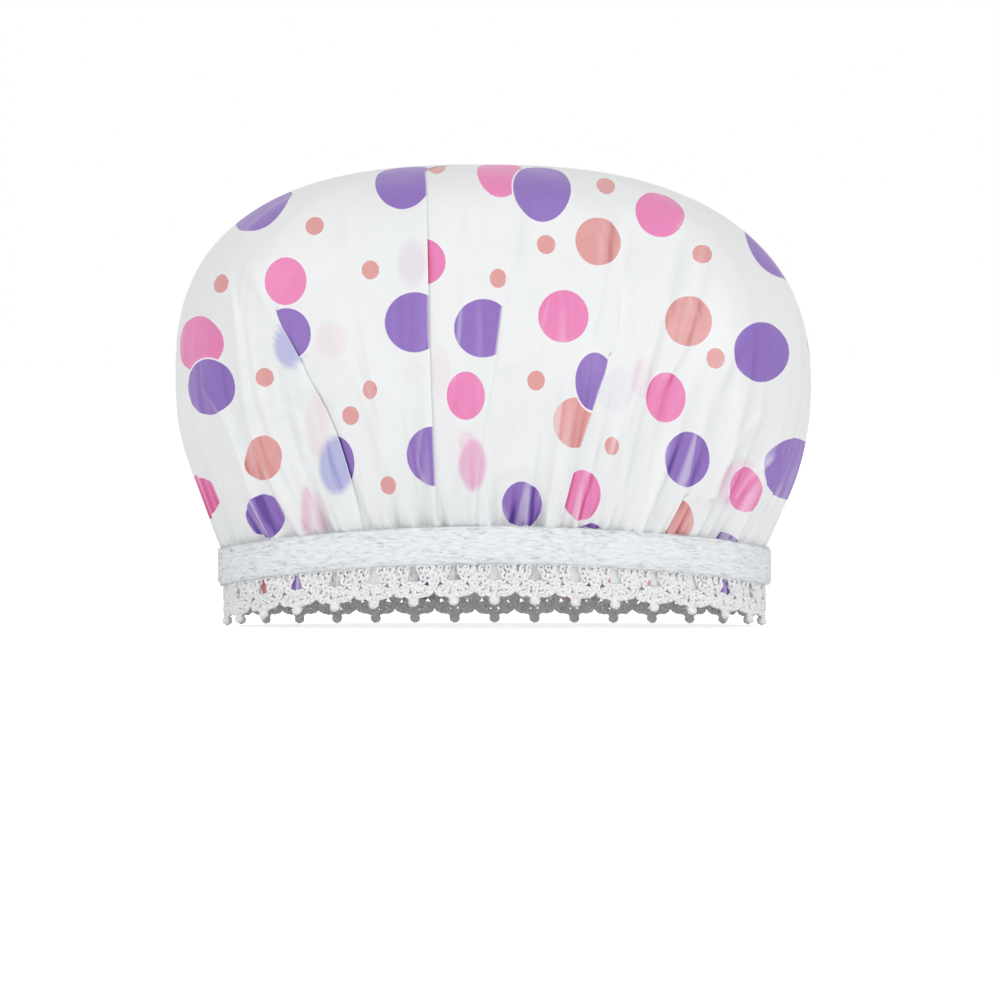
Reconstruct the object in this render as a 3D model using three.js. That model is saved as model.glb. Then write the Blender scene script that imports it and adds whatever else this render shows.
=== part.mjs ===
// Shower cap: a printed film crown, gathered onto an elastic rim that carries a tape and a lace edging.
// Millimetres, +Z up. The front faces -Y, and the lace tips at the sides and the back stand on z = 0.
import * as THREE from "three";
import { LoftGeometry } from "three/addons/geometries/LoftGeometry.js";
import { mergeVertices } from "three/addons/utils/BufferGeometryUtils.js";

// Crown: the puffed film above the tape
const CROWN_WIDTH = 188.6;
const CROWN_DEPTH = 116;
const CROWN_RISE = 114.4; // from the tape's top edge to the flat top
const WIDEST_RISE = 48.5; // from the tape's top edge to the widest level
const TOP_FLAT_WIDTH = 50;
const TOP_FLAT_DEPTH = 36;
const SHOULDER_POWER = 2.5; // how square the shoulders are, seen from the front: 2 is an ellipse
const BROW_POWER = 3; // the same, seen from the side: the front stays upright for longer
const CROWN_LEAN = 4; // the top lies this far to the left
const WAIST_POWER = 1.7; // how late the crown draws in towards the rim
const FILM_WALL = 0.5;
const FILM_TAIL = 5; // raw edge of the film below the tape, behind the lace
const FOLD_COUNT = 16;
const FOLD_DEPTH = 3.6;
const FOLD_START = 8; // the folds reach their depth this far above the tape

// Rim: the oval of the tape's inner face
const RIM_WIDTH = 162;
const RIM_DEPTH = 90;
const RIM_SIDE_RADIUS = 36;
const RIM_FORWARD = 4; // the rim lies this far ahead of the crown
const FRONT_ARCH = 7; // the brow is lifted this much at the middle of the front

// Trim: heading tape, lace edging and elastic
const TAPE_HEIGHT = 11;
const TAPE_WALL = 1.2;
const TAPE_EDGE = 0.4;
const LACE_DROP = 12.4; // lace that shows below the tape
const LACE_TUCK = 3; // lace behind the tape
const LACE_WALL = 0.9;
const SCALLOP_PITCH = 12.2;
const ELASTIC_HEIGHT = 9;
const ELASTIC_WALL = 1;

// One scallop of the lace, measured up from its tip
const KNOB_HALF = 1.1;
const KNOB_RISE = 2.2;
const FAN_HALF = 5.2;
const FAN_RISE = 6.2;
const NOTCH_RISE = 7.8;
const EYELET_RISE = 9.9;
const EYELET_HALF_WIDTH = 1.3;
const EYELET_HALF_HEIGHT = 1.5;
const SIDE_EYE_OUT = 3.1;
const SIDE_EYE_RISE = 6.4;
const SIDE_EYE_RADIUS = 0.75;

// Sewing: zigzag rows along the tape and a bar tack across each join
const THREAD_DIAMETER = 0.5;
const ROW_INSET = 3; // a row's middle, from the tape's edge
const ZIGZAG_WIDTH = 2;
const ZIGZAG_PITCH = 6;
const TACK_WIDTH = 4;
const TACK_PITCH = 3;
const TACK_MARGIN = 0.8; // between a tack and the edge of what it joins
const JOIN_GAP = 0.5; // between the butted ends of a strip

const SEAT_GAP = 0.3; // between pieces that lie on each other
const RING_STEPS = 64;
const THREAD_SIDES = 3;
const LACE_CURVE_STEPS = 2;
const MERGE_LIMIT = 0.001; // corners closer than this are one

// Heights and layers that follow from the sizes above
const TAPE_BOTTOM = LACE_DROP;
const TAPE_TOP = TAPE_BOTTOM + TAPE_HEIGHT;
const LACE_TOP = LACE_DROP + LACE_TUCK;
const FILM_BOTTOM = TAPE_BOTTOM - FILM_TAIL;
const ELASTIC_BOTTOM = TAPE_BOTTOM + (TAPE_HEIGHT - ELASTIC_HEIGHT) / 2;
const THREAD_RADIUS = THREAD_DIAMETER / 2;

// How far each layer's outer face lies inside the tape's inner face
const LACE_INSET = SEAT_GAP;
const FILM_INSET = LACE_INSET + LACE_WALL + SEAT_GAP;
const ELASTIC_INSET = FILM_INSET + FILM_WALL + SEAT_GAP;
const INNER_THREAD_INSET = ELASTIC_INSET + ELASTIC_WALL + SEAT_GAP + THREAD_RADIUS;
const OUTER_THREAD_OUT = TAPE_WALL + SEAT_GAP + THREAD_RADIUS;

// The rim is an oval of four arcs, walked anticlockwise from the middle of the back
function rimPath() {
  const halfWidth = RIM_WIDTH / 2;
  const halfDepth = RIM_DEPTH / 2;
  const sideCentre = halfWidth - RIM_SIDE_RADIUS;
  const spare = halfDepth - RIM_SIDE_RADIUS;
  const longCentre = (sideCentre ** 2 - spare ** 2) / (2 * spare);
  const longRadius = halfDepth + longCentre;
  const swing = Math.atan2(sideCentre, longCentre);
  const back = Math.PI / 2;
  const front = back + Math.PI;
  const path = new THREE.Path();
  path.absarc(0, -longCentre, longRadius, back, back + swing, false);
  path.absarc(-sideCentre, 0, RIM_SIDE_RADIUS, back + swing, front - swing, false);
  path.absarc(0, longCentre, longRadius, front - swing, front + swing, false);
  path.absarc(sideCentre, 0, RIM_SIDE_RADIUS, front + swing, front + Math.PI - swing, false);
  path.absarc(0, -longCentre, longRadius, back - swing, back, false);
  return path;
}

const rim = rimPath();
const rimLength = rim.getLength();

// How far the brow lifts the rim at a depth y, measured from the rim's own centre
function browLift(y) {
  const towardsFront = Math.max(0, -y / (RIM_DEPTH / 2));
  return FRONT_ARCH * towardsFront ** 2;
}

// A point beside the rim: a share of the way round, a distance outwards and a height
function besideRim(share, out, height) {
  const around = share - Math.floor(share);
  const base = rim.getPoint(around);
  const along = rim.getTangent(around);
  return new THREE.Vector3(base.x + along.y * out, base.y - along.x * out, height + browLift(base.y));
}

// Half-width, half-depth, height and lean of the crown at a rise above the tape's top edge
function crownLevel(rise, inset) {
  const halfWidth = CROWN_WIDTH / 2;
  const halfDepth = CROWN_DEPTH / 2;
  const hemWidth = RIM_WIDTH / 2 - FILM_INSET;
  const hemDepth = RIM_DEPTH / 2 - FILM_INSET;
  if (rise <= WIDEST_RISE) {
    const drawIn = Math.min(1, (WIDEST_RISE - rise) / WIDEST_RISE) ** WAIST_POWER;
    return {
      halfWidth: halfWidth - (halfWidth - hemWidth) * drawIn - inset,
      halfDepth: halfDepth - (halfDepth - hemDepth) * drawIn - inset,
      height: TAPE_TOP + rise,
      lean: 0,
    };
  }
  const shoulderRise = CROWN_RISE - WIDEST_RISE;
  const up = (rise - WIDEST_RISE) / shoulderRise;
  const roundWidth = (1 - up ** SHOULDER_POWER) ** (1 / SHOULDER_POWER);
  const roundDepth = (1 - up ** BROW_POWER) ** (1 / BROW_POWER);
  return {
    halfWidth: Math.max((halfWidth - inset) * roundWidth, TOP_FLAT_WIDTH / 2 - inset),
    halfDepth: Math.max((halfDepth - inset) * roundDepth, TOP_FLAT_DEPTH / 2 - inset),
    height: TAPE_TOP + WIDEST_RISE + up * (shoulderRise - inset),
    lean: CROWN_LEAN * up ** 1.5,
  };
}

// One ring of the film at a rise, with the gathers that fade towards the top
function crownRing(rise, inset) {
  const level = crownLevel(rise, inset);
  const risen = THREE.MathUtils.clamp(rise / CROWN_RISE, 0, 1);
  const folds = THREE.MathUtils.smoothstep(rise, 0, FOLD_START) * (1 - risen);
  const forward = RIM_FORWARD * (1 - THREE.MathUtils.smoothstep(rise, 0, WIDEST_RISE));
  const ring = [];
  for (let i = 0; i < RING_STEPS; i++) {
    const share = i / RING_STEPS;
    const base = rim.getPoint(share);
    const fold = (FOLD_DEPTH * folds * (1 - Math.cos(2 * Math.PI * FOLD_COUNT * share))) / 2;
    const x = (base.x / (RIM_WIDTH / 2)) * (level.halfWidth - fold);
    const y = (base.y / (RIM_DEPTH / 2)) * (level.halfDepth - fold);
    ring.push(new THREE.Vector3(x - level.lean, y - forward, level.height + browLift(base.y) * (1 - risen)));
  }
  return ring;
}

// A thin shell: the rings of its outer face from the top down, then those of its inner face from the hem up
function shell(rings) {
  const index = [];
  const last = (rings.length - 1) * RING_STEPS;
  for (let start = 0; start < last; start += RING_STEPS) {
    for (let i = 0; i < RING_STEPS; i++) {
      const here = start + i;
      const beside = start + ((i + 1) % RING_STEPS);
      index.push(here, here + RING_STEPS, beside, beside, here + RING_STEPS, beside + RING_STEPS);
    }
  }
  for (let i = 1; i < RING_STEPS - 1; i++) index.push(0, i, i + 1, last, last + i + 1, last + i);
  return new THREE.BufferGeometry().setFromPoints(rings.flat()).setIndex(index);
}

function crownFilm() {
  const shoulder = CROWN_RISE - WIDEST_RISE;
  const rises = [
    FILM_BOTTOM - TAPE_TOP,
    0,
    FOLD_START,
    WIDEST_RISE * 0.53,
    WIDEST_RISE,
    WIDEST_RISE + shoulder * 0.36,
    WIDEST_RISE + shoulder * 0.67,
    WIDEST_RISE + shoulder * 0.88,
    CROWN_RISE,
  ];
  const outer = rises.map((rise) => crownRing(rise, 0)).reverse();
  const inner = rises.map((rise) => crownRing(rise, FILM_WALL));
  return shell([...outer, ...inner]);
}

// A strip round the rim with butted ends at the back; section points are [outwards, height]
function rimStrip(section) {
  const endShare = JOIN_GAP / 2 / rimLength;
  const stations = [];
  for (let i = 0; i <= RING_STEPS; i++) {
    const share = endShare + (1 - 2 * endShare) * (i / RING_STEPS);
    stations.push(section.map(([out, height]) => besideRim(share, out, height)));
  }
  return new LoftGeometry(stations, { capStart: true, capEnd: true });
}

function headingTape() {
  return rimStrip([
    [0, TAPE_BOTTOM],
    [0, TAPE_TOP],
    [TAPE_WALL - TAPE_EDGE, TAPE_TOP],
    [TAPE_WALL, TAPE_TOP - TAPE_EDGE],
    [TAPE_WALL, TAPE_BOTTOM + TAPE_EDGE],
    [TAPE_WALL - TAPE_EDGE, TAPE_BOTTOM],
  ]);
}

function elasticStrip() {
  const outer = -ELASTIC_INSET;
  const inner = outer - ELASTIC_WALL;
  const top = ELASTIC_BOTTOM + ELASTIC_HEIGHT;
  return rimStrip([
    [inner, ELASTIC_BOTTOM],
    [inner, top],
    [outer, top],
    [outer, ELASTIC_BOTTOM],
  ]);
}

// A thread through stops of [share, outwards, height], each with its section across the rim
function thread(stops) {
  const stations = stops.map(([share, out, height]) => {
    const section = [];
    for (let i = 0; i < THREAD_SIDES; i++) {
      const turn = (-2 * Math.PI * i) / THREAD_SIDES;
      section.push(
        besideRim(share, out + THREAD_RADIUS * Math.cos(turn), height + THREAD_RADIUS * Math.sin(turn)),
      );
    }
    return section;
  });
  return new LoftGeometry(stations, { capStart: true, capEnd: true });
}

// A zigzag row all round the rim, which starts and ends beside the bar tack
function sewnRow(out, middle) {
  const tackRoom = (TACK_WIDTH / 2 + THREAD_DIAMETER + SEAT_GAP) / rimLength;
  const turns = 2 * Math.round(rimLength / ZIGZAG_PITCH);
  const stops = [];
  for (let i = 0; i <= turns; i++) {
    const share = tackRoom + (1 - 2 * tackRoom) * (i / turns);
    stops.push([share, out, middle + (i % 2 ? 1 : -1) * (ZIGZAG_WIDTH / 2)]);
  }
  return thread(stops);
}

// A bar tack: a zigzag up the join at the middle of the back, with level sections drawn out along its slant
function barTack(out, bottom, top) {
  const low = bottom + TACK_MARGIN;
  const high = top - TACK_MARGIN;
  const turns = 2 * Math.round((high - low) / TACK_PITCH);
  const step = (high - low) / turns;
  const drawn = (THREAD_RADIUS * Math.hypot(TACK_WIDTH, step)) / step;
  const swing = (TACK_WIDTH / 2 - drawn) / rimLength;
  const stations = [];
  for (let i = 0; i <= turns; i++) {
    const middle = besideRim(i % 2 ? swing : -swing, out, low + step * i);
    const section = [];
    for (let j = 0; j < THREAD_SIDES; j++) {
      const turn = (2 * Math.PI * j) / THREAD_SIDES;
      const offset = new THREE.Vector3(drawn * Math.cos(turn), THREAD_RADIUS * Math.sin(turn), 0);
      section.push(offset.add(middle));
    }
    stations.push(section);
  }
  return new LoftGeometry(stations, { capStart: true, capEnd: true });
}

// Half a scallop, from the middle of its tip to the border with the next one
function halfScallop(halfPitch) {
  const shape = new THREE.Shape();
  shape.moveTo(0, 0);
  shape.lineTo(KNOB_HALF, 0);
  shape.lineTo(KNOB_HALF, KNOB_RISE);
  shape.quadraticCurveTo(FAN_HALF, KNOB_RISE, FAN_HALF, FAN_RISE);
  shape.lineTo(halfPitch, NOTCH_RISE);
  shape.lineTo(halfPitch, LACE_TOP);
  shape.lineTo(0, LACE_TOP);
  shape.lineTo(0, EYELET_RISE + EYELET_HALF_HEIGHT);
  const half = Math.PI / 2;
  shape.absellipse(0, EYELET_RISE, EYELET_HALF_WIDTH, EYELET_HALF_HEIGHT, half, -half, true);
  const sideEye = new THREE.Path();
  sideEye.absarc(SIDE_EYE_OUT, SIDE_EYE_RISE, SIDE_EYE_RADIUS, 0, 2 * Math.PI, true);
  shape.holes.push(sideEye);
  return shape;
}

// The corners of a flat half scallop, without the faces in the two borders where halves meet
function openCorners(flat, halfPitch) {
  const position = flat.getAttribute("position");
  const corners = [];
  for (let i = 0; i < position.count; i += 3) {
    const face = [i, i + 1, i + 2].map((j) => new THREE.Vector3().fromBufferAttribute(position, j));
    const inBorder = (x) => face.every((corner) => Math.abs(corner.x - x) < MERGE_LIMIT);
    if (!inBorder(0) && !inBorder(halfPitch)) corners.push(...face);
  }
  return corners;
}

// The halves are bent onto the rim, every second one turned over to make the pair, and joined
function laceEdging() {
  const halves = 2 * Math.round(rimLength / SCALLOP_PITCH);
  const halfPitch = rimLength / halves;
  const flat = new THREE.ExtrudeGeometry(halfScallop(halfPitch), {
    depth: LACE_WALL,
    bevelEnabled: false,
    curveSegments: LACE_CURVE_STEPS,
  });
  const corners = openCorners(flat, halfPitch);
  const points = [];
  for (let i = 0; i < halves; i++) {
    for (const corner of corners) {
      const across = i % 2 ? halfPitch - corner.x : corner.x;
      const depth = i % 2 ? LACE_WALL - corner.z : corner.z;
      const share = (i * halfPitch + across) / rimLength;
      points.push(besideRim(share, depth - LACE_INSET - LACE_WALL, corner.y));
    }
  }
  return mergeVertices(new THREE.BufferGeometry().setFromPoints(points), MERGE_LIMIT);
}

function piece(name, geometry, color, roughness) {
  const material = new THREE.MeshStandardMaterial({ color, roughness, metalness: 0 });
  const mesh = new THREE.Mesh(geometry, material);
  mesh.name = name;
  return mesh;
}

const FILM_COLOR = 0xf1f1f4;
const TAPE_COLOR = 0xeff3f4;
const LACE_COLOR = 0xf6f7f7;
const ELASTIC_COLOR = 0xeaeceb;
const THREAD_COLOR = 0xf4f5f4;

const trim = new THREE.Group();
trim.position.y = -RIM_FORWARD;
trim.add(
  piece("heading_tape", headingTape(), TAPE_COLOR, 0.9),
  piece("lace_edging", laceEdging(), LACE_COLOR, 0.9),
  piece("elastic_strip", elasticStrip(), ELASTIC_COLOR, 0.85),
);

const lowRow = TAPE_BOTTOM + ROW_INSET;
const highRow = TAPE_TOP - ROW_INSET;
trim.add(
  piece("upper_needle_thread", sewnRow(OUTER_THREAD_OUT, highRow), THREAD_COLOR, 0.7),
  piece("lower_needle_thread", sewnRow(OUTER_THREAD_OUT, lowRow), THREAD_COLOR, 0.7),
  piece("upper_bobbin_thread", sewnRow(-INNER_THREAD_INSET, highRow), THREAD_COLOR, 0.7),
  piece("lower_bobbin_thread", sewnRow(-INNER_THREAD_INSET, lowRow), THREAD_COLOR, 0.7),
  piece("tape_join_tack", barTack(OUTER_THREAD_OUT, TAPE_BOTTOM, TAPE_TOP), THREAD_COLOR, 0.7),
  piece(
    "elastic_join_tack",
    barTack(-INNER_THREAD_INSET, ELASTIC_BOTTOM, ELASTIC_BOTTOM + ELASTIC_HEIGHT),
    THREAD_COLOR,
    0.7,
  ),
);

const cap = new THREE.Group();
cap.add(piece("crown_film", crownFilm(), FILM_COLOR, 0.45), trim);

export default cap;
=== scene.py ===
# %% [markdown]
# # A gathered shower cap
# A shower cap is one round sheet of thin printed film, gathered onto an elastic rim. A soft white
# tape covers the gathers, and a crocheted lace edging hangs below it. The measured solids are loaded
# first, because they fix where every piece goes. Each soft piece is then modelled as what it is.

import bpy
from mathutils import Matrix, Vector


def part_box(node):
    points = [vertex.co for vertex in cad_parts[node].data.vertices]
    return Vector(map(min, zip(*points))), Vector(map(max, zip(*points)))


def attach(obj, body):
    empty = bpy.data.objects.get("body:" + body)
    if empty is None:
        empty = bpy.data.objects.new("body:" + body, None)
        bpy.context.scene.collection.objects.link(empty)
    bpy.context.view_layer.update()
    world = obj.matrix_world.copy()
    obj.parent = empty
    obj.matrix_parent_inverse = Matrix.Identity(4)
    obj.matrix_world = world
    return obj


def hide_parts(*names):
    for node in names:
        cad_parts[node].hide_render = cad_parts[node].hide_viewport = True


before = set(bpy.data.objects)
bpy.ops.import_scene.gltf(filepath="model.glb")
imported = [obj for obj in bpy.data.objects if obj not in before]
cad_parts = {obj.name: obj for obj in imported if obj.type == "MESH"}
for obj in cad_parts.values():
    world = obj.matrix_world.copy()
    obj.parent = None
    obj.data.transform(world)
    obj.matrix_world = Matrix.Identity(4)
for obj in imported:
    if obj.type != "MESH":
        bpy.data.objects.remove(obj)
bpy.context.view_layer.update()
print("solids:", sorted(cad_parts))

# %% Tools and units
import math
import random

import bmesh
import bpy
import numpy as np
from mathutils import Matrix, Vector, noise

MM = 0.001
BODY = "root"

# %% [markdown]
# ## The oval rim
# The relaxed elastic lies in an oval of four arcs: two long flat ones at the front and the back, and
# two tight ones at the sides. Every piece of trim follows this line, so it is measured once from the
# tape's solid. The brow lifts the front a little, which shows as the arch of the tape.

# %% Measure the rim
TAPE_WALL = 1.2 * MM
TAPE_HEIGHT = 11 * MM
RIM_SIDE_RADIUS = 36 * MM
LENGTH_SLACK, ANGLE_SLACK = 1e-9, 1e-6  # rounding at the ends of an arc

tape_low, tape_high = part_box("heading_tape")
rim_y = (tape_low.y + tape_high.y) / 2
half_width = (tape_high.x - tape_low.x) / 2 - TAPE_WALL
half_depth = (tape_high.y - tape_low.y) / 2 - TAPE_WALL
tape_bottom = tape_low.z
tape_top = tape_bottom + TAPE_HEIGHT
brow_arch = tape_high.z - tape_top

side_centre = half_width - RIM_SIDE_RADIUS
spare = half_depth - RIM_SIDE_RADIUS
long_centre = (side_centre**2 - spare**2) / (2 * spare)
long_radius = half_depth + long_centre
swing = math.atan2(side_centre, long_centre)
BACK, FRONT = math.pi / 2, math.pi * 3 / 2

# Each arc: centre x, centre y, radius, start angle and sweep, anticlockwise from the middle of the back
RIM_ARCS = [
    (0, -long_centre, long_radius, BACK, swing),
    (-side_centre, 0, RIM_SIDE_RADIUS, BACK + swing, math.pi - 2 * swing),
    (0, long_centre, long_radius, FRONT - swing, 2 * swing),
    (side_centre, 0, RIM_SIDE_RADIUS, FRONT + swing, math.pi - 2 * swing),
    (0, -long_centre, long_radius, BACK - swing, swing),
]
rim_length = sum(radius * sweep for _, _, radius, _, sweep in RIM_ARCS)
print("rim length, mm:", round(rim_length / MM, 1), "arch, mm:", round(brow_arch / MM, 1))

# %% Walk the rim
def round_rim(share):
    """Points and outward directions at shares of the way round the rim, about the rim's own centre."""
    distance = np.mod(np.asarray(share, float), 1.0) * rim_length
    point = np.zeros(distance.shape + (2,))
    outward = np.zeros_like(point)
    start = 0.0
    for x, y, radius, angle, sweep in RIM_ARCS:
        here = (distance >= start) & (distance <= start + radius * sweep + LENGTH_SLACK)
        turn = angle + (distance[here] - start) / radius
        direction = np.stack([np.cos(turn), np.sin(turn)], -1)
        outward[here] = direction
        point[here] = np.array([x, y]) + radius * direction
        start += radius * sweep
    return point, outward


def rim_share(x, y):
    """The share of the way round at which a point beside the rim lies."""
    start = 0.0
    for centre_x, centre_y, radius, angle, sweep in RIM_ARCS:
        turn = (math.atan2(y - centre_y, x - centre_x) - angle) % math.tau
        beside = abs(math.hypot(x - centre_x, y - centre_y) - radius) < RIM_SIDE_RADIUS / 2
        if beside and turn <= sweep + ANGLE_SLACK:
            return (start + radius * turn) / rim_length
        start += radius * sweep
    return 0.0


def brow_lift(y):
    """How far the brow lifts the rim at depths y from the rim's own centre."""
    return brow_arch * np.maximum(0, -np.asarray(y) / half_depth) ** 2


def beside_rim(share, outwards, height):
    """Places beside the rim, as rows of x, y and z."""
    point, outward = round_rim(share)
    place = point + outward * np.asarray(outwards)[..., None]
    return np.stack([place[..., 0], place[..., 1] + rim_y, height + brow_lift(point[..., 1])], -1)


print("front of the rim, mm:", np.round(beside_rim(np.array([0.5]), np.zeros(1), tape_top)[0] / MM, 1))

# %% [markdown]
# ## Finishes
# Shader nodes are easier to read as sums than as a web of links. `Wire` holds one socket and turns
# Python's operators into Math nodes. `Nodes` holds a tree and adds any other node, and `Finish` is the
# tree of one material.

# %% Shader helpers
SEEN_BY = ("Camera", "Glossy", "Transmission")


class Wire:
    """One output socket. Arithmetic on wires adds Math nodes."""

    def __init__(self, tree, socket):
        self.tree, self.socket = tree, socket

    def math(self, operation, *values):
        node = self.tree.nodes.new("ShaderNodeMath")
        node.operation = operation
        for socket, value in zip(node.inputs, values):
            plug(self.tree, value, socket)
        return Wire(self.tree, node.outputs[0])

    def __add__(self, other):
        return self.math("ADD", self, other)

    def __sub__(self, other):
        return self.math("SUBTRACT", self, other)

    def __rsub__(self, other):
        return self.math("SUBTRACT", other, self)

    def __mul__(self, other):
        return self.math("MULTIPLY", self, other)

    __radd__, __rmul__ = __add__, __mul__


def plug(tree, value, socket):
    """Links a wire to a socket, or sets the socket's own value."""
    if isinstance(value, Wire):
        tree.links.new(value.socket, socket)
    else:
        socket.default_value = value


def ink(red, green, blue):
    """A colour as it looks on screen, 0 to 255, as the shader's linear colour."""
    return (*(((value / 255 + 0.055) / 1.055) ** 2.4 for value in (red, green, blue)), 1.0)


class Nodes:
    """A tree of shader nodes."""

    def __init__(self, tree):
        self.tree = tree

    def node(self, kind, settings=None, inputs=None, output=0):
        """Adds a node, sets it, plugs its sockets and gives the wire of one output."""
        node = self.tree.nodes.new(kind)
        for key, value in (settings or {}).items():
            setattr(node, key, value)
        for key, value in (inputs or {}).items():
            plug(self.tree, value, node.inputs[key])
        return Wire(self.tree, node.outputs[output])

    def seen(self):
        """1 on rays that show a background: straight, mirrored or through glass."""
        straight, mirrored, through = (
            self.node("ShaderNodeLightPath", None, None, f"Is {kind} Ray") for kind in SEEN_BY
        )
        return straight + mirrored + through


class Finish(Nodes):
    """A material on the Principled shader."""

    def __init__(self, name, **constants):
        self.material = bpy.data.materials.new(name)
        self.material.use_nodes = True
        super().__init__(self.material.node_tree)
        self.shader = self.tree.nodes["Principled BSDF"]
        self.set(**constants)

    def blend(self, factor, first, second):
        """A colour between two colours."""
        return self.node("ShaderNodeMix", {"data_type": "RGBA"}, {0: factor, 6: first, 7: second}, 2)

    def step(self, value, low, high):
        """0 up to low, 1 from high, smooth between."""
        inputs = {"Value": value, "From Min": low, "From Max": high}
        return self.node("ShaderNodeMapRange", {"interpolation_type": "SMOOTHSTEP"}, inputs, "Result")

    def attribute(self, name, output="Fac"):
        return self.node("ShaderNodeAttribute", {"attribute_name": name}, None, output)

    def noise(self, vector, scale, detail=2.0, roughness=0.5):
        inputs = {"Vector": vector, "Scale": scale, "Detail": detail, "Roughness": roughness}
        return self.node("ShaderNodeTexNoise", None, inputs)

    def stretch(self, vector, scale):
        """A vector whose axes are scaled apart."""
        return self.node("ShaderNodeMapping", None, {"Vector": vector, "Scale": scale})

    def bump(self, height, distance, strength):
        inputs = {"Height": height, "Distance": distance, "Strength": strength}
        return self.node("ShaderNodeBump", None, inputs, "Normal")

    def let_through(self, share, colour):
        """Passes a share of the light on to the other side, scattered."""
        glow = self.node("ShaderNodeBsdfTranslucent", None, {"Color": colour})
        solid = Wire(self.tree, self.shader.outputs[0])
        mixed = self.node("ShaderNodeMixShader", None, {0: share, 1: solid, 2: glow})
        self.tree.links.new(mixed.socket, self.tree.nodes["Material Output"].inputs["Surface"])

    def set(self, **values):
        """Sets the shader's sockets, named as on the shader with _ for a space."""
        for key, value in values.items():
            plug(self.tree, value, self.shader.inputs[key.replace("_", " ")])


print("finish helpers ready")

# %% [markdown]
# ## Pieces
# A finished piece rides on the cap's one body, takes its finish, and stands for the solids that it
# replaces. Its object stays at the origin, because its place is in its mesh.

# %% Keep a finished mesh
def make_piece(name, mesh, finish, slot, *nodes):
    """Turns a mesh into a piece that stands for the named solids."""
    mesh.shade_smooth()
    mesh.materials.append(finish.material)
    piece = bpy.data.objects.new(name, mesh)
    bpy.context.scene.collection.objects.link(piece)
    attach(piece, BODY)
    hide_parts(*nodes)
    faces = sum(len(polygon.vertices) - 2 for polygon in mesh.polygons)
    print(f"{name}: {faces} triangles, stands for {', '.join(nodes)}")
    return piece


def to_mesh(bm, name):
    mesh = bpy.data.meshes.new(name)
    bm.to_mesh(mesh)
    bm.free()
    return mesh


def write_points(mesh, name, values, kind="FLOAT"):
    """Stores one value for each vertex under a name that a material can read."""
    layer = mesh.attributes.new(name, kind, "POINT")
    layer.data.foreach_set("value" if kind == "FLOAT" else "vector", np.asarray(values, np.float32).ravel())


print("pieces ride on the body", BODY)

# %% [markdown]
# ## The crown's shape
# Seen from the front, the crown is a squarish dome that draws in to the rim. It is described level
# by level: how wide, how deep and how high it is. The rows are spaced evenly along the film, from the
# middle of the top down to the raw edge behind the lace, so that no face is stretched.

# %% Levels of the crown
FILM_INSET = 1.5 * MM  # the film lies this far inside the tape
FILM_TAIL = 5 * MM  # raw edge below the tape
WIDEST_RISE = 48.5 * MM  # widest level above the tape
CROWN_LEAN = 4 * MM  # the top lies this far to the left
SHOULDER_POWER, BROW_POWER, WAIST_POWER = 2.5, 3.0, 1.7
SHOULDER_ROWS, WAIST_ROWS, HEM_ROWS = 62, 38, 9
LEAN_POWER = 1.5
PROFILE_STEPS = 4000

film_low, film_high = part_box("crown_film")
crown_half_width = (film_high.x - film_low.x) / 2
crown_half_depth = (film_high.y - film_low.y) / 2
crown_top = film_high.z
crown_rise = crown_top - tape_top
shoulder_rise = crown_rise - WIDEST_RISE


def smooth(value):
    """0 to 1 with soft ends."""
    value = np.clip(value, 0, 1)
    return value * value * (3 - 2 * value)


def round_off(up, power):
    return np.maximum(0, 1 - up**power) ** (1 / power)


def shoulder_steps():
    """Heights from the top, 1, to the widest level, 0, evenly spaced along the film."""
    up = np.sin(np.linspace(0, math.pi / 2, PROFILE_STEPS)) ** (2 / SHOULDER_POWER)
    wide = crown_half_width * round_off(up, SHOULDER_POWER)
    deep = crown_half_depth * round_off(up, BROW_POWER)
    reach = (wide + deep) / 2
    path = np.concatenate([[0], np.cumsum(np.hypot(np.diff(reach), np.diff(up * shoulder_rise)))])
    return np.interp(np.linspace(0, path[-1], SHOULDER_ROWS + 1), path, up)[::-1]


up = shoulder_steps()
waist = np.linspace(WIDEST_RISE, 0, WAIST_ROWS + 1)[1:]
hem = np.linspace(0, -(TAPE_HEIGHT + FILM_TAIL), HEM_ROWS + 1)[1:]
rise = np.concatenate([WIDEST_RISE + up * shoulder_rise, waist, hem])
above = np.clip((rise - WIDEST_RISE) / shoulder_rise, 0, 1)
draw_in = np.clip((WIDEST_RISE - rise) / WIDEST_RISE, 0, 1) ** WAIST_POWER
level_width = crown_half_width * round_off(above, SHOULDER_POWER)
level_width -= (crown_half_width - half_width + FILM_INSET) * draw_in
level_depth = crown_half_depth * round_off(above, BROW_POWER)
level_depth -= (crown_half_depth - half_depth + FILM_INSET) * draw_in
level_lean = CROWN_LEAN * above**LEAN_POWER
level_shift = rim_y * (1 - smooth(rise / WIDEST_RISE))
level_lift = 1 - np.clip(rise / crown_rise, 0, 1)
ROWS = len(rise) - 1
print("rows of film:", ROWS, "top, mm:", round((tape_top + rise[0]) / MM, 1))

# %% Points on the crown
NUDGE = 1e-4  # share between two points that give a direction
NO_LENGTH, NO_WIDTH = 1e-14, 1e-9  # below these there is no direction and no width
FRONT_SIDES = (0.25, 0.75)  # shares of the way round at the left and right sides
FRONT_SAMPLES, GIRTH_SAMPLES = 2001, 401
OUTERMOST = 0.999
SHORTEST_ROW = 100 * MM  # near the middle of the top, rows count as this long


def crown_point(share, row):
    """Places on the smooth crown at shares of the way round and rows of film."""
    point, _ = round_rim(share)
    across, deep = point[..., 0] / half_width, point[..., 1] / half_depth
    x = across * level_width[row] - level_lean[row]
    y = deep * level_depth[row] + level_shift[row]
    lift = brow_lift(point[..., 1]) * level_lift[row]
    return np.stack([x, y, tape_top + rise[row] + lift], -1)


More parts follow.
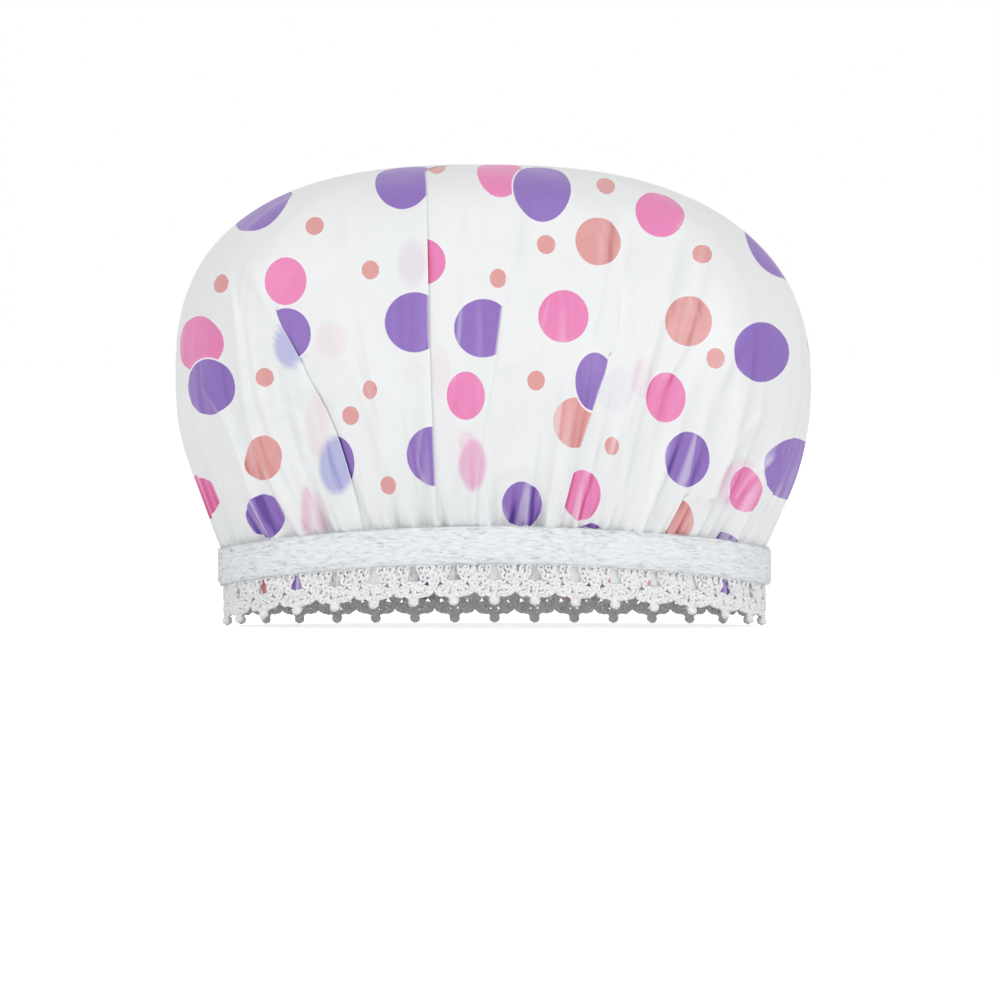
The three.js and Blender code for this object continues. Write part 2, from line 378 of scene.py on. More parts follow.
def crown_normal(share, row):
    """Outward directions on the smooth crown."""
    around = crown_point(share + NUDGE, row) - crown_point(share - NUDGE, row)
    down = crown_point(share, np.minimum(row + 1, ROWS)) - crown_point(share, np.maximum(row - 1, 0))
    normal = np.cross(down, around)
    length = np.linalg.norm(normal, axis=-1, keepdims=True)
    straight_up = np.zeros_like(normal)
    straight_up[..., 2] = 1
    return np.where(length > NO_LENGTH, normal / np.maximum(length, NO_LENGTH), straight_up)


front_shares = np.linspace(*FRONT_SIDES, FRONT_SAMPLES)
front_across = round_rim(front_shares)[0][:, 0] / half_width


def front_share(x, row):
    """The share of the way round at which the front of a row lies at x."""
    across = (x + level_lean[row]) / np.maximum(level_width[row], NO_WIDTH)
    return np.interp(np.clip(across, -OUTERMOST, OUTERMOST), front_across, front_shares)


def level_length(row):
    """How long a row of film is, without its folds."""
    ring = crown_point(np.linspace(0, 1, GIRTH_SAMPLES), row)
    return float(np.linalg.norm(np.diff(ring, axis=0), axis=1).sum())


row_length = np.array([level_length(row) for row in range(ROWS + 1)])
counted_length = np.maximum(row_length, SHORTEST_ROW)
front_height = tape_top + rise + brow_arch * level_lift
print("longest row, mm:", round(row_length.max() / MM, 1))

# %% [markdown]
# ## Knife pleats
# The spare film at the front is laid in flat knife pleats: the left side lies on top, turns under at a
# crease, runs back and comes forward again as the right side. Printed dots are cut sharply there. A
# bump can't do that, so every pleat gets real layers: one panel, one layer back and one forward. Each
# crease is a line from the tape up to where the pleat opens out. Creases are measured in pixels of a
# square picture with a scale of 0.297 mm to the pixel.

# %% Crease lines
PIXEL = 0.297 * MM
MIDDLE_COLUMN, FLOOR_LINE = 494.5, 628.0


def from_picture(column, line):
    """Width and height, in metres, of a place in the picture."""
    across, down = np.asarray(column, float), np.asarray(line, float)
    return (across - MIDDLE_COLUMN) * PIXEL, (FLOOR_LINE - down) * PIXEL


# Depth of the hidden layers, thickness, then the crease's places in the picture, from its top down
FRONT_PLEATS = [
    (15 * MM, 0.5 * MM, [(269, 295), (278, 313), (304, 358), (335, 420), (352, 474), (364, 521)]),
    (14 * MM, 0.45 * MM, [(426, 110), (428, 210), (430, 350), (436, 480), (438, 525)]),
    (9 * MM, 0.16 * MM, [(506, 272), (503, 300), (496, 356), (482, 443), (475, 525)]),
    (12 * MM, 0.16 * MM, [(613, 341), (611, 347), (591, 411), (578, 448), (557, 528)]),
    (8 * MM, 0.4 * MM, [(684, 483), (676, 498), (656, 537)]),
]
# At the back: depth, share of the way round at the tape and at the top, and how far up it reaches
BACK_PLEATS = [
    (12 * MM, 0.055, 0.075, 62 * MM),
    (14 * MM, 0.140, 0.130, 78 * MM),
    (10 * MM, 0.205, 0.208, 48 * MM),
    (11 * MM, 0.785, 0.780, 52 * MM),
    (14 * MM, 0.850, 0.862, 80 * MM),
    (12 * MM, 0.930, 0.915, 60 * MM),
]
BACK_THICKNESS = 0.6 * MM
OPENING_LENGTH = 14 * MM  # a pleat opens out over this height
SETTLING_LENGTH = 55 * MM  # and gets its full thickness over this height
OPENING_PART, SETTLING_PART = 0.25, 0.5  # but over no more than this part of a crease
THIN_START = 0.25  # part of its thickness that a pleat has at once
OPENING_ROWS = 22  # at the middle of the top, a pleat opens over so many rows
STRAIGHT_FROM = 1.6  # a crease runs straight to the middle where a level is narrower than 1.6 times its x
CREASE_EASE = 5  # rows over which a bend in a crease is eased
FOLD_FROM = 0.25  # a pleat folds over once it is closed by this share
FLAT_SHARE = 0.006  # share that a hidden layer takes where the pleat is open


def front_pleat(depth, thickness, line):
    """Crease share, closeness, hidden share and thickness of a front pleat at every row."""
    columns, lines = zip(*line)
    x, z = from_picture(columns, lines)
    rows = np.arange(ROWS + 1)
    share = front_share(np.interp(front_height, z[::-1], x[::-1]), rows)
    top_row = int(np.argmin(np.abs(front_height - z[0])))
    wide_row = int(np.argmax(level_width > STRAIGHT_FROM * abs(x[0] + CROWN_LEAN)))
    top_row = max(top_row, wide_row)
    share[:top_row] = share[top_row]
    share[rise < 0] = share[rise <= 0][0]
    window = np.ones(2 * CREASE_EASE + 1)
    share = np.convolve(np.pad(share, CREASE_EASE, mode="edge"), window, mode="valid") / len(window)
    opening = min(OPENING_LENGTH, (z[0] - z[-1]) * OPENING_PART)
    closed = smooth((z[0] - front_height) / opening) * smooth(rows / OPENING_ROWS)
    settling = min(SETTLING_LENGTH, (z[0] - z[-1]) * SETTLING_PART)
    thick = thickness * (THIN_START + (1 - THIN_START) * smooth((z[0] - front_height) / settling))
    return share, closed, depth / counted_length, thick


def back_pleat(depth, at_tape, at_top, reach):
    """The same for a back pleat."""
    share = at_tape + (at_top - at_tape) * smooth(rise / reach)
    closed = smooth((reach - rise) / OPENING_LENGTH)
    thick = BACK_THICKNESS * (THIN_START + (1 - THIN_START) * smooth((reach - rise) / SETTLING_LENGTH))
    return share, closed, depth / counted_length, thick


pleats = [front_pleat(*pleat) for pleat in FRONT_PLEATS] + [back_pleat(*pleat) for pleat in BACK_PLEATS]
pleats.sort(key=lambda pleat: pleat[0][-1])
print("pleats, share at the tape:", [round(float(share[-1]), 3) for share, *_ in pleats])

# %% [markdown]
# Between two creases lies a panel. The columns of the mesh are dealt out to panels and hidden layers
# once, so a crease stays on one column all the way up and comes out sharp. Where a pleat opens, its
# hidden layers unroll into a narrow strip of the panel.

# %% Deal out the columns
COLUMNS = 820
DEALING_RISE = 0.6 * WIDEST_RISE  # level at which the columns are dealt out
FRONT_REACH = 0.26  # the front reaches this share to either side of its middle
FRONT_FINENESS = 2.3  # columns at the front lie this much closer
HIDDEN_FINENESS = 0.5  # and those of hidden layers this much
LAYERS = PANEL, BACKWARD, FORWARD = 0, 1, 2
LAYER_DROP = 0.9 * MM  # the hidden layers lie this far below
PLEAT_RAMP = 12 * MM  # a panel rises to its crease over this length
TURN_PART = 0.5  # a layer has turned under within this part of its breadth
SINK_LENGTH = 4 * MM  # the hidden layers sink over this length behind the crease
LOWEST_LAYER = 1.3  # the forward layer sinks this much deeper

crease_shares, closeness, hidden_shares, thicknesses = (np.array(item) for item in zip(*pleats))
borders = []
for share, closed, hidden in zip(crease_shares, closeness, hidden_shares):
    inner = share + FLAT_SHARE - (hidden + FLAT_SHARE) * closed
    leave = inner + FLAT_SHARE + (hidden - FLAT_SHARE) * closed
    borders += [share, inner, leave]
borders = np.array([borders[-1] - 1] + borders)

middle = int(np.argmin(np.abs(rise - DEALING_RISE)))
lengths = np.abs(np.diff(borders[:, middle]))
strip_middle = (borders[1:, middle] + borders[:-1, middle]) / 2
lengths *= np.where(np.abs(strip_middle - 0.5) < FRONT_REACH, FRONT_FINENESS, 1.0)
lengths *= np.where(np.arange(len(lengths)) % len(LAYERS) == PANEL, 1.0, HIDDEN_FINENESS)
marks = np.round(np.concatenate([[0], np.cumsum(lengths)]) / lengths.sum() * COLUMNS).astype(int)
strip = np.repeat(np.arange(len(lengths)), np.diff(marks))
step_in = (np.arange(COLUMNS) - marks[strip]) / np.diff(marks)[strip]
layer, pleat_of = strip % len(LAYERS), strip // len(LAYERS)

film_share = borders[strip] + (borders[strip + 1] - borders[strip]) * step_in[:, None]
film_row = np.broadcast_to(np.arange(ROWS + 1), film_share.shape)
crease_share, closed_here, thick_here = crease_shares[pleat_of], closeness[pleat_of], thicknesses[pleat_of]
print("columns in panels and hidden layers:", [int((layer == kind).sum()) for kind in LAYERS])

# %% Lift the layers apart
to_crease = (borders[strip + 1] - film_share) * row_length
ramp = smooth(1 - to_crease / PLEAT_RAMP)
under = smooth((crease_share - film_share) * row_length / SINK_LENGTH)
turn_under = smooth(step_in / TURN_PART)[:, None]
lift_panel = thick_here * ramp
lift_backward = thick_here * (1 - turn_under) - LAYER_DROP * under
lift_forward = -LOWEST_LAYER * LAYER_DROP * under
kind = layer[:, None]
film_lift = np.where(kind == PANEL, lift_panel, np.where(kind == BACKWARD, lift_backward, lift_forward))
film_lift = film_lift * closed_here
print("layers are lifted up to", round(float(film_lift.max()) / MM, 2), "mm")

# %% [markdown]
# ## Gathers and folds
# The elastic draws the film into many small ridges at the tape. Some die out within a centimetre, some
# run up the crown as long soft folds. Each is a bell-shaped rise along a line that fans out from the rim,
# often with one steep flank. All layers at one place must rise together, or a hidden layer would come
# through its panel. So the folds are drawn once, on an even ring of film, and every layer reads them there.

# %% Raise the ridges
RING = 1440
FAN = 0.35  # how far the ridges lean away from the middle, in shares to the metre
STEEP_SIDE = 0.55  # the right flank of a ridge is this much narrower
ring = (np.arange(RING) / RING)[:, None]
CALM_ROWS, WAKING_ROWS = 5, 43  # rows that stay smooth at the middle of the top, and over which folds begin
TOP_CALM = smooth((np.arange(ROWS + 1) - CALM_ROWS) / WAKING_ROWS)
FADE_POWER = 1.7
STRAY, DRIFT = 0.38, 0.12  # how far ridges stray from even places, and lean to one side
# Count, then breadth in mm, length over which a ridge doubles in breadth, reach and height in mm
GATHERS = [
    (92, (1.0, 1.7), 14 * MM, (8, 20), (0.6, 1.5)),
    (48, (1.4, 2.6), 40 * MM, (18, 44), (0.9, 2.1)),
    (32, (2.0, 4.2), 60 * MM, (45, 100), (0.9, 2.3)),
    (80, (0.7, 1.1), 80 * MM, (22, 80), (0.2, 0.6)),
]
gather_dice = random.Random(11)


def bell(share, left, right):
    """A bell-shaped rise on the ring, with its own breadth on either side of a share."""
    away = np.mod(ring - share + 0.5, 1.0) - 0.5
    return np.exp(-((away / np.where(away > 0, right, left)) ** 2))


def ridge(centre, drift, width, spread, reach, height):
    """One ridge that starts at the tape."""
    up_here = np.maximum(rise, 0)
    breadth = width / rim_length * (1 + up_here / spread)
    fade = np.exp(-((up_here / reach) ** FADE_POWER))
    lean = drift + FAN * math.sin(2 * math.tau * centre)
    return height * fade * bell(centre + lean * up_here, breadth, STEEP_SIDE * breadth)


def ridges(count, width, spread, reach, height):
    """A row of ridges round the rim, each with its own size."""
    total = np.zeros((RING, ROWS + 1))
    for index in range(count):
        centre = (index + gather_dice.uniform(-STRAY, STRAY)) / count
        drift = gather_dice.uniform(-DRIFT, DRIFT)
        sizes = [gather_dice.uniform(*span) * MM for span in (width, reach, height)]
        total += ridge(centre, drift, sizes[0], spread, sizes[1], sizes[2])
    return total


gathers = sum(ridges(*row) for row in GATHERS)
gathers -= gathers.mean(axis=0)
print("gathers, mm:", round(float(gathers.min()) / MM, 2), "to", round(float(gathers.max()) / MM, 2))

# %% Folds at the front
# Height, breadth to the left and to the right in mm, then places in the picture, from its top down
FRONT_FOLDS = [
    (0.8, 3.0, 1.0, [(229, 255), (240, 337), (247, 405), (255, 437), (267, 490)]),
    (0.7, 2.2, 1.5, [(192, 405), (225, 470), (247, 540), (250, 590)]),
    (0.9, 2.0, 1.5, [(193, 362), (222, 400), (247, 455), (262, 492), (275, 530), (280, 590)]),
    (0.7, 1.4, 1.0, [(249, 432), (267, 476), (290, 528), (295, 590)]),
    (0.6, 1.5, 1.0, [(278, 465), (305, 520), (310, 590)]),
    (0.7, 2.4, 1.0, [(293, 410), (305, 455), (318, 500), (322, 590)]),
    (0.6, 3.0, 1.0, [(330, 310), (355, 370), (370, 410), (388, 470), (400, 590)]),
    (0.6, 1.5, 1.5, [(196, 466), (217, 515), (225, 590)]),
    (0.5, 2.4, 1.0, [(232, 225), (247, 255), (265, 292), (283, 330)]),
    (0.8, 2.6, 1.3, [(612, 195), (605, 265), (600, 295), (588, 350)]),
    (0.9, 1.0, 2.5, [(524, 190), (516, 230), (508, 290), (497, 390)]),
    (0.5, 1.0, 2.0, [(556, 280), (540, 345), (514, 385)]),
    (0.7, 1.8, 1.0, [(534, 455), (545, 490), (548, 590)]),
    (1.0, 1.0, 1.0, [(530, 485), (520, 525), (518, 590)]),
    (0.9, 1.6, 1.0, [(585, 460), (575, 525), (574, 590)]),
    (0.5, 1.5, 1.0, [(452, 390), (462, 440), (454, 480), (455, 590)]),
    (1.0, 1.0, 2.8, [(690, 200), (668, 282), (645, 366), (629, 413), (624, 453), (614, 590)]),
    (0.8, 1.0, 2.2, [(680, 230), (655, 300), (636, 356), (622, 413), (608, 470), (598, 590)]),
    (1.0, 1.4, 2.6, [(744, 322), (726, 360), (712, 387), (698, 430), (680, 483), (648, 529), (644, 590)]),
    (1.0, 1.4, 3.2, [(780, 385), (743, 424), (714, 471), (698, 526), (692, 590)]),
    (0.8, 1.4, 2.0, [(792, 425), (760, 455), (741, 483), (726, 529), (720, 590)]),
    (0.8, 1.4, 2.0, [(790, 450), (770, 488), (749, 529), (742, 590)]),
    (0.8, 2.6, 1.5, [(713, 230), (694, 305), (682, 346), (661, 385), (652, 424), (640, 480), (630, 590)]),
    (0.6, 1.2, 2.8, [(642, 160), (628, 230), (612, 300), (598, 355)]),
    (0.7, 1.0, 1.2, [(702, 430), (684, 480), (668, 520), (664, 590)]),
    (0.6, 1.0, 1.6, [(470, 180), (466, 260), (462, 330), (452, 420)]),
    (0.6, 2.0, 1.0, [(344, 190), (352, 260), (366, 330), (380, 420)]),
]
# Short folds that bend round: height and breadth in mm, then places in the picture
FRONT_ARCS = [
    (0.6, 3.0, [(250, 402), (275, 398), (298, 391), (315, 386)]),
    (0.6, 1.6, [(270, 416), (286, 411), (297, 418), (303, 434)]),
    (0.6, 1.9, [(530, 332), (527, 350), (519, 361), (505, 365)]),
    (0.5, 2.2, [(500, 474), (513, 464), (527, 463), (536, 474)]),
    (0.4, 2.5, [(560, 470), (552, 486), (541, 500)]),
]
FOLD_FADE = 12 * MM  # a fold dies out over this height at its ends


def front_fold(height, left, right, line):
    """One long fold at the front."""
    columns, lines = zip(*line)
    x, z = from_picture(columns, lines)
    share = front_share(np.interp(front_height, z[::-1], x[::-1]), np.arange(ROWS + 1))
    fade = smooth((z[0] - front_height) / FOLD_FADE) * smooth((front_height - z[-1]) / FOLD_FADE)
    return height * MM * fade * bell(share, left * MM / counted_length, right * MM / counted_length)


def arc_fold(height, breadth, line):
    """One short fold that may bend round, by its distance from a line in the picture."""
    ends = np.stack(from_picture(*zip(*line)), -1)
    distance = np.full(ring_places.shape[:2], np.inf)
    for start, along in zip(ends, np.diff(ends, axis=0)):
        off = ring_places[..., [0, 2]] - start
        part = np.clip(off @ along / (along @ along), 0, 1)
        distance = np.minimum(distance, np.linalg.norm(off - part[..., None] * along, axis=-1))
    return np.where(ring_places[..., 1] < 0, height * MM * np.exp(-((distance / (breadth * MM)) ** 2)), 0)


every_row = np.broadcast_to(np.arange(ROWS + 1), (RING, ROWS + 1))
ring_places = crown_point(np.broadcast_to(ring, every_row.shape), every_row)
front_folds = sum(front_fold(*fold) for fold in FRONT_FOLDS) + sum(arc_fold(*fold) for fold in FRONT_ARCS)
print("folds at the front:", len(FRONT_FOLDS), "long ones and", len(FRONT_ARCS), "arcs")

# %% Soft waves and sharp creases over the whole crown
# Breadth and length of a wave, and its height
WAVES = [(26 * MM, 30 * MM, 0.7 * MM), (13 * MM, 70 * MM, 1.0 * MM), (7 * MM, 45 * MM, 0.4 * MM)]
# Breadth and length of the pattern, height of a crease and how sharp it is
CREASES = [(13 * MM, 80 * MM, 0.6 * MM, 7), (7 * MM, 45 * MM, 0.35 * MM, 6)]
LINE_SEED, PATCH_SEED = 17.0, 41.0
PATCH_BREADTH, PATCH_LEVEL = 5, 0.6  # breadth of a patch, in patterns, and how much of the film has one
HIGH_PART = 0.3  # part of their height that creases keep near the top
LOW_FROM, LOW_OVER = 95 * MM, 75 * MM  # they grow from this rise down, over this height
WAVE_FAN = FAN / 2
DOWNWARD = 0.7  # how much a slope down the film counts in the painted shade and highlights
mean_girth = float(row_length.mean())


def wave_field(breadth, length, shift):
    """Noise that is narrow across the film and long down it."""
    turn = ring * math.tau + WAVE_FAN * np.sin(2 * math.tau * ring) * math.tau * (rise[0] - rise)
    radius = mean_girth / math.tau / breadth
    down = np.broadcast_to((rise[0] - rise) / length, turn.shape)
    places = np.stack([np.cos(turn) * radius, np.sin(turn) * radius, down + shift], -1)
    return np.array([noise.noise(place) for place in places.reshape(-1, 3)]).reshape(turn.shape)


def crumple(breadth, length, height, sharpness):
    """Thin creases where a wave crosses zero: they run up the film, bend and meet, and come in patches."""
    ridge_line = (1 - np.abs(wave_field(breadth, length, LINE_SEED))) ** sharpness
    patch = smooth(wave_field(PATCH_BREADTH * breadth, length, PATCH_SEED) + PATCH_LEVEL)
    low_down = HIGH_PART + (1 - HIGH_PART) * smooth((LOW_FROM - rise) / LOW_OVER)
    return ridge_line * patch * height * low_down


waves = sum(height * wave_field(breadth, length, breadth / MM) for breadth, length, height in WAVES)
creases = sum(crumple(*pattern) for pattern in CREASES)
folds = (gathers + front_folds + waves + creases) * TOP_CALM
slopes = (np.roll(folds, -1, axis=0) - np.roll(folds, 1, axis=0)) / (2 * counted_length / RING)
row_step = np.linalg.norm(np.diff(ring_places[RING // 2], axis=0), axis=1).mean()
slopes += DOWNWARD * np.gradient(folds, row_step, axis=1)
print("folds, mm:", round(float(folds.min()) / MM, 2), "to", round(float(folds.max()) / MM, 2))


def read_ring(field):
    """Values of a field on the ring at every point of the film."""
    position = np.mod(film_share, 1.0) * RING
    low = np.floor(position).astype(int)
    part = position - low
    return field[low % RING, film_row] * (1 - part) + field[(low + 1) % RING, film_row] * part


# %% Place every point of the film
crown = crown_point(film_share, film_row)
outward = crown_normal(film_share, film_row)
FLAT_BELOW, FLAT_OVER = 4 * MM, 6 * MM  # behind the tape the film has to lie flat
room = smooth((rise + FLAT_BELOW) / FLAT_OVER)
film = crown + outward * ((film_lift + read_ring(folds)) * room)[..., None]
print("film spans, mm:", np.round(film.min((0, 1)) / MM, 1), np.round(film.max((0, 1)) / MM, 1))

# %% [markdown]
# A flank of a fold that faces the key light is lit and the other lies in shade. The turned edge of a pleat
# catches a highlight, and the film beside it lies in its shade. Studio light from all round nearly hides
# this, so every point stores this light and shade, and the material paints it into the film's colour.

# %% Painted fold light: painted shade and painted highlights
EDGE_GLINT, EDGE_SHADE = 0.5 * MM, 1.3 * MM  # breadth of the painted highlight on a turned edge and of the painted shade beside it
FULL_THICKNESS = 0.5 * MM  # a pleat this thick casts its full painted shade
closed_before = np.roll(closeness, 1, axis=0)[pleat_of]
thick_before = np.roll(thicknesses, 1, axis=0)[pleat_of]
from_crease = (film_share - borders[strip]) * row_length
shade = closed_before * thick_before / FULL_THICKNESS * np.exp(-from_crease / EDGE_SHADE)
glint = closed_here * smooth(1 - to_crease / EDGE_GLINT)
# Painted light and shade: slopes of the folds, the painted highlight of a turned edge and the painted shade
# beside it
painted_fold_light = read_ring(slopes) + np.where(kind == PANEL, glint - shade, 0)
# The turned column of a backward layer gets a full painted highlight
painted_fold_light = np.where((kind == BACKWARD) & (step_in == 0)[:, None], closed_here, painted_fold_light)
print("relief:", round(float(painted_fold_light.min()), 2), "to", round(float(painted_fold_light.max()), 2))

# %% [markdown]
# ## Printed dots
# The print is a loose scatter of round dots: large purple, pink and salmon ones and small salmon ones.
# A dot belongs to the panel that it was printed on: it is cut where that panel turns under, goes on
# along the layer below, and shows through the panel above as a faint ghost. Every vertex stores
# how far it lies from the nearest dot of each colour, and the material cuts that distance off sharply.

# %% Where the dots are
# Column, line, half-width and half-height in the picture
PURPLE_DOTS = [
    (404, 180, 29, 36), (262, 206, 31, 39), (542, 187, 29, 38), (772, 250, 34, 36), (415, 322, 30, 30),
    (483, 328, 29, 29), (762, 352, 31, 30), (209, 387, 29, 28), (594, 381, 20, 29), (434, 454, 27, 29),
    (686, 458, 23, 27), (784, 467, 30, 31), (522, 504, 20, 23), (267, 514, 20, 22), (589, 536, 14, 15),
    (726, 549, 14, 15), (302, 584, 11, 13), (432, 578, 14, 14), (512, 577, 11, 12), (718, 592, 14, 14),
]
PINK_DOTS = [
    (500, 172, 23, 35), (660, 212, 25, 26), (286, 281, 21, 24), (563, 316, 25, 26), (197, 344, 33, 28),
    (466, 395, 19, 24), (665, 397, 20, 25), (581, 493, 19, 25), (200, 499, 22, 24), (744, 489, 16, 23),
    (352, 580, 12, 13), (558, 580, 12, 13),
]
SALMON_DOTS = [
    (598, 241, 23, 25), (688, 321, 24, 25), (575, 421, 22, 25), (265, 457, 18, 22), (811, 346, 14, 14),
    (672, 518, 20, 23), (437, 168, 9, 14), (315, 226, 9.5, 9.5), (371, 270, 9, 9.5), (222, 284, 9, 9.5),
    (546, 244, 9.5, 10), (498, 279, 8.5, 9.5), (606, 184, 9.5, 12), (702, 254, 10, 10), (715, 358, 9.5, 10.5),
    (265, 377, 9.5, 9.5), (371, 389, 7.5, 9.5), (351, 415, 8.5, 9.5), (389, 484, 8, 9.5), (536, 380, 9, 10),
    (611, 445, 7, 9), (600, 583, 11, 13), (470, 577, 12, 13), (640, 586, 12, 13), (272, 586, 12, 13),
]
# Dots whose middle lies under the panel to the left
PURPLE_TUCKED = [(287, 334, 25, 26), (337, 463, 18, 27)]
PINK_TUCKED = [(423, 262, 23, 23)]
print("dots at the front:", len(PURPLE_DOTS + PINK_DOTS + SALMON_DOTS + PURPLE_TUCKED + PINK_TUCKED))

# %% Distance to a dot
CUT_FROM = 0.05  # a crease cuts dots once the pleat is closed by this share
DEPTH_WEIGHT = 0.2  # how much of the curve over the brow counts in a dot's roundness; behind it, all counts
FAR = 20.0  # distance, mm, where no dot can show
panel_count = len(pleats)
panel = np.where(layer == FORWARD, pleat_of + 1, pleat_of) % panel_count
crease_row = np.broadcast_to(np.arange(ROWS + 1), crease_shares.shape)
crease_x = crown_point(crease_shares, crease_row)[..., 0]
past_crease = crease_x[pleat_of] + np.abs(crown[..., 0] - crease_x[pleat_of])
unrolled_x = np.where(kind == BACKWARD, past_crease, crown[..., 0])


def reach_of_panel(number):
    """Where a dot printed on one panel may show: on that panel, and past creases that are open."""
    reach = np.zeros((panel_count, ROWS + 1), bool)
    reach[number] = True
    for step, crease in ((1, number), (-1, number - 1)):
        open_way = np.ones(ROWS + 1, bool)
        for count in range(panel_count // 2):
            open_way &= closeness[(crease + count * step) % panel_count] < CUT_FROM
            reach[(number + (count + 1) * step) % panel_count] |= open_way
    return reach[panel]


def front_distance(dot, tucked=False):
    """Signed distance, in mm, of every point of the film from a front dot's edge."""
    x, z = from_picture(*dot[:2])
    half_across, half_up = dot[2] * PIXEL, dot[3] * PIXEL
    row = int(np.argmin(np.abs(front_height - z)))
    share = float(front_share(np.array([x]), np.array([row]))[0])
    number = (int(np.searchsorted(crease_shares[:, row], share)) + tucked) % panel_count
    depth = crown_point(np.array([share]), np.array([row]))[0, 1]
    off = ((unrolled_x - x) / half_across) ** 2 + ((crown[..., 2] - z) / half_up) ** 2
    off += DEPTH_WEIGHT * ((crown[..., 1] - depth) / half_up) ** 2
    off += (np.maximum(crown[..., 1] - max(depth, 0), 0) / half_up) ** 2
    distance = (np.sqrt(off) - 1) * (half_across + half_up) / 2
    return np.where(reach_of_panel(number), distance / MM, FAR)


def nearest(dots, tucked):
    """Distance to the nearest dot of one colour."""
    total = np.full(film_share.shape, FAR)
    for dot in dots:
        total = np.minimum(total, front_distance(dot))
    for dot in tucked:
        total = np.minimum(total, front_distance(dot, tucked=True))
    return total


to_purple = nearest(PURPLE_DOTS, PURPLE_TUCKED)
to_pink = nearest(PINK_DOTS, PINK_TUCKED)
to_salmon = nearest(SALMON_DOTS, [])
inside = [float((field < 0).mean()) for field in (to_purple, to_pink, to_salmon)]
print("film inside a dot:", np.round(inside, 3))

# %% Scatter dots over the back and the top
# Colour and radius in mm, in turn
BACK_KINDS = [
    ("purple", 8.4), ("pink", 7.4), ("salmon", 7.2), ("salmon", 2.8), ("purple", 8.2), ("salmon", 2.8),
]
BACK_DOTS, BACK_GAP, TRIALS = 150, 3.2, 4000
BACK_FROM, LOWEST_SEAT = 13 * MM, -9 * MM  # depth and rise from which the dots are scattered
back_dice = random.Random(5)
fields = {"purple": to_purple, "pink": to_pink, "salmon": to_salmon}
taken = np.minimum(np.minimum(to_purple, to_pink), to_salmon)
for share, closed, *_ in pleats:
    top_row = int(np.argmax(closed > CUT_FROM))
    pleat_top = crown_point(share[[top_row]], np.array([top_row]))
    taken = np.minimum(taken, np.linalg.norm(crown - pleat_top, axis=-1) / MM)
seats = np.argwhere((kind == PANEL) & (crown[..., 1] > BACK_FROM) & (rise > LOWEST_SEAT))
placed = 0
for _ in range(TRIALS):
    name, radius = BACK_KINDS[placed % len(BACK_KINDS)]
    column, row = seats[back_dice.randrange(len(seats))]
    if taken[column, row] < radius + BACK_GAP:
        continue
    distance = np.linalg.norm(crown - crown[column, row], axis=-1) / MM - radius
    distance = np.where(reach_of_panel(panel[column]), distance, FAR)
    fields[name][...] = np.minimum(fields[name], distance)
    taken = np.minimum(taken, distance)
    placed += 1
    if placed == BACK_DOTS:
        break
print("dots at the back:", placed)

# %% Ghosts of the layers below
# Column, line, half-width, half-height and strength in the picture
LILAC_GHOSTS = [
    (290, 345, 15, 22, 0.95), (337, 464, 17, 28, 1.0), (614, 388, 18, 24, 0.16), (412, 266, 14, 22, 0.16),
]
PINK_GHOSTS = [
    (413, 262, 14, 22, 0.16), (332, 340, 16, 18, 0.2), (415, 372, 12, 12, 0.12), (441, 372, 9, 26, 0.2),
    (318, 425, 12, 32, 0.22), (316, 514, 14, 22, 0.3), (641, 378, 11, 20, 0.24), (467, 441, 8, 12, 0.4),
    (473, 463, 13, 25, 1.0), (307, 508, 5, 22, 0.7), (729, 484, 11, 22, 0.5), (741, 466, 14, 8, 0.3),
    (452, 420, 10, 50, 0.08),
]
GHOST_EDGE, GHOST_BLUR = 1.15, 0.3  # where a ghost ends, and over what part of its size


def ghosts(spots):
    """Strength, 0 to 1, of soft spots on the panels at the front."""
    total = np.zeros(film_share.shape)
    for column, line, half_across, half_up, strength in spots:
        x, z = from_picture(column, line)
        off = np.hypot((crown[..., 0] - x) / (half_across * PIXEL), (crown[..., 2] - z) / (half_up * PIXEL))
        here = (crown[..., 1] < 0) & (kind != FORWARD)
        total = np.maximum(total, np.where(here, strength * smooth((GHOST_EDGE - off) / GHOST_BLUR), 0))
    return total


lilac_ghost, pink_ghost = ghosts(LILAC_GHOSTS), ghosts(PINK_GHOSTS)
print("strongest ghosts:", round(float(lilac_ghost.max()), 2), round(float(pink_ghost.max()), 2))

# %% [markdown]
# ## The film
# The real film is cut as a flat disc, so the mesh starts as one: a row of points from the middle to the
# edge, spun once round. Each point is then moved to its gathered place, as a hand would lay it.

# %% Film finish
DARK_FLANK, BRIGHT_FLANK = 0.8, 0.35  # how far the painted shade darkens the film and the painted highlight lightens it
FLANK_FROM, FLANK_FULL = 0.05, 0.9  # painted fold light at which the painted shade or highlight begins and is full
SEE_THROUGH = 0.22  # share of the light that bare film passes on, scattered; the ink lets nothing through
GHOST_TINT, GHOST_COVER = 0.8, 0.7  # how far a ghost tints the film, and a lilac one stops the light
CLOUDS, MOTTLE, GLOSS, CRINKLE = 60.0, 420.0, 90.0, 260.0  # patterns to the metre
EVEN_ROUGHNESS, MORE_ROUGHNESS = 0.32, 0.14
EDGE = 0.14  # half the width of a printed edge, mm
RIM_WIDTH = 0.5  # bare white rim round a dot, mm
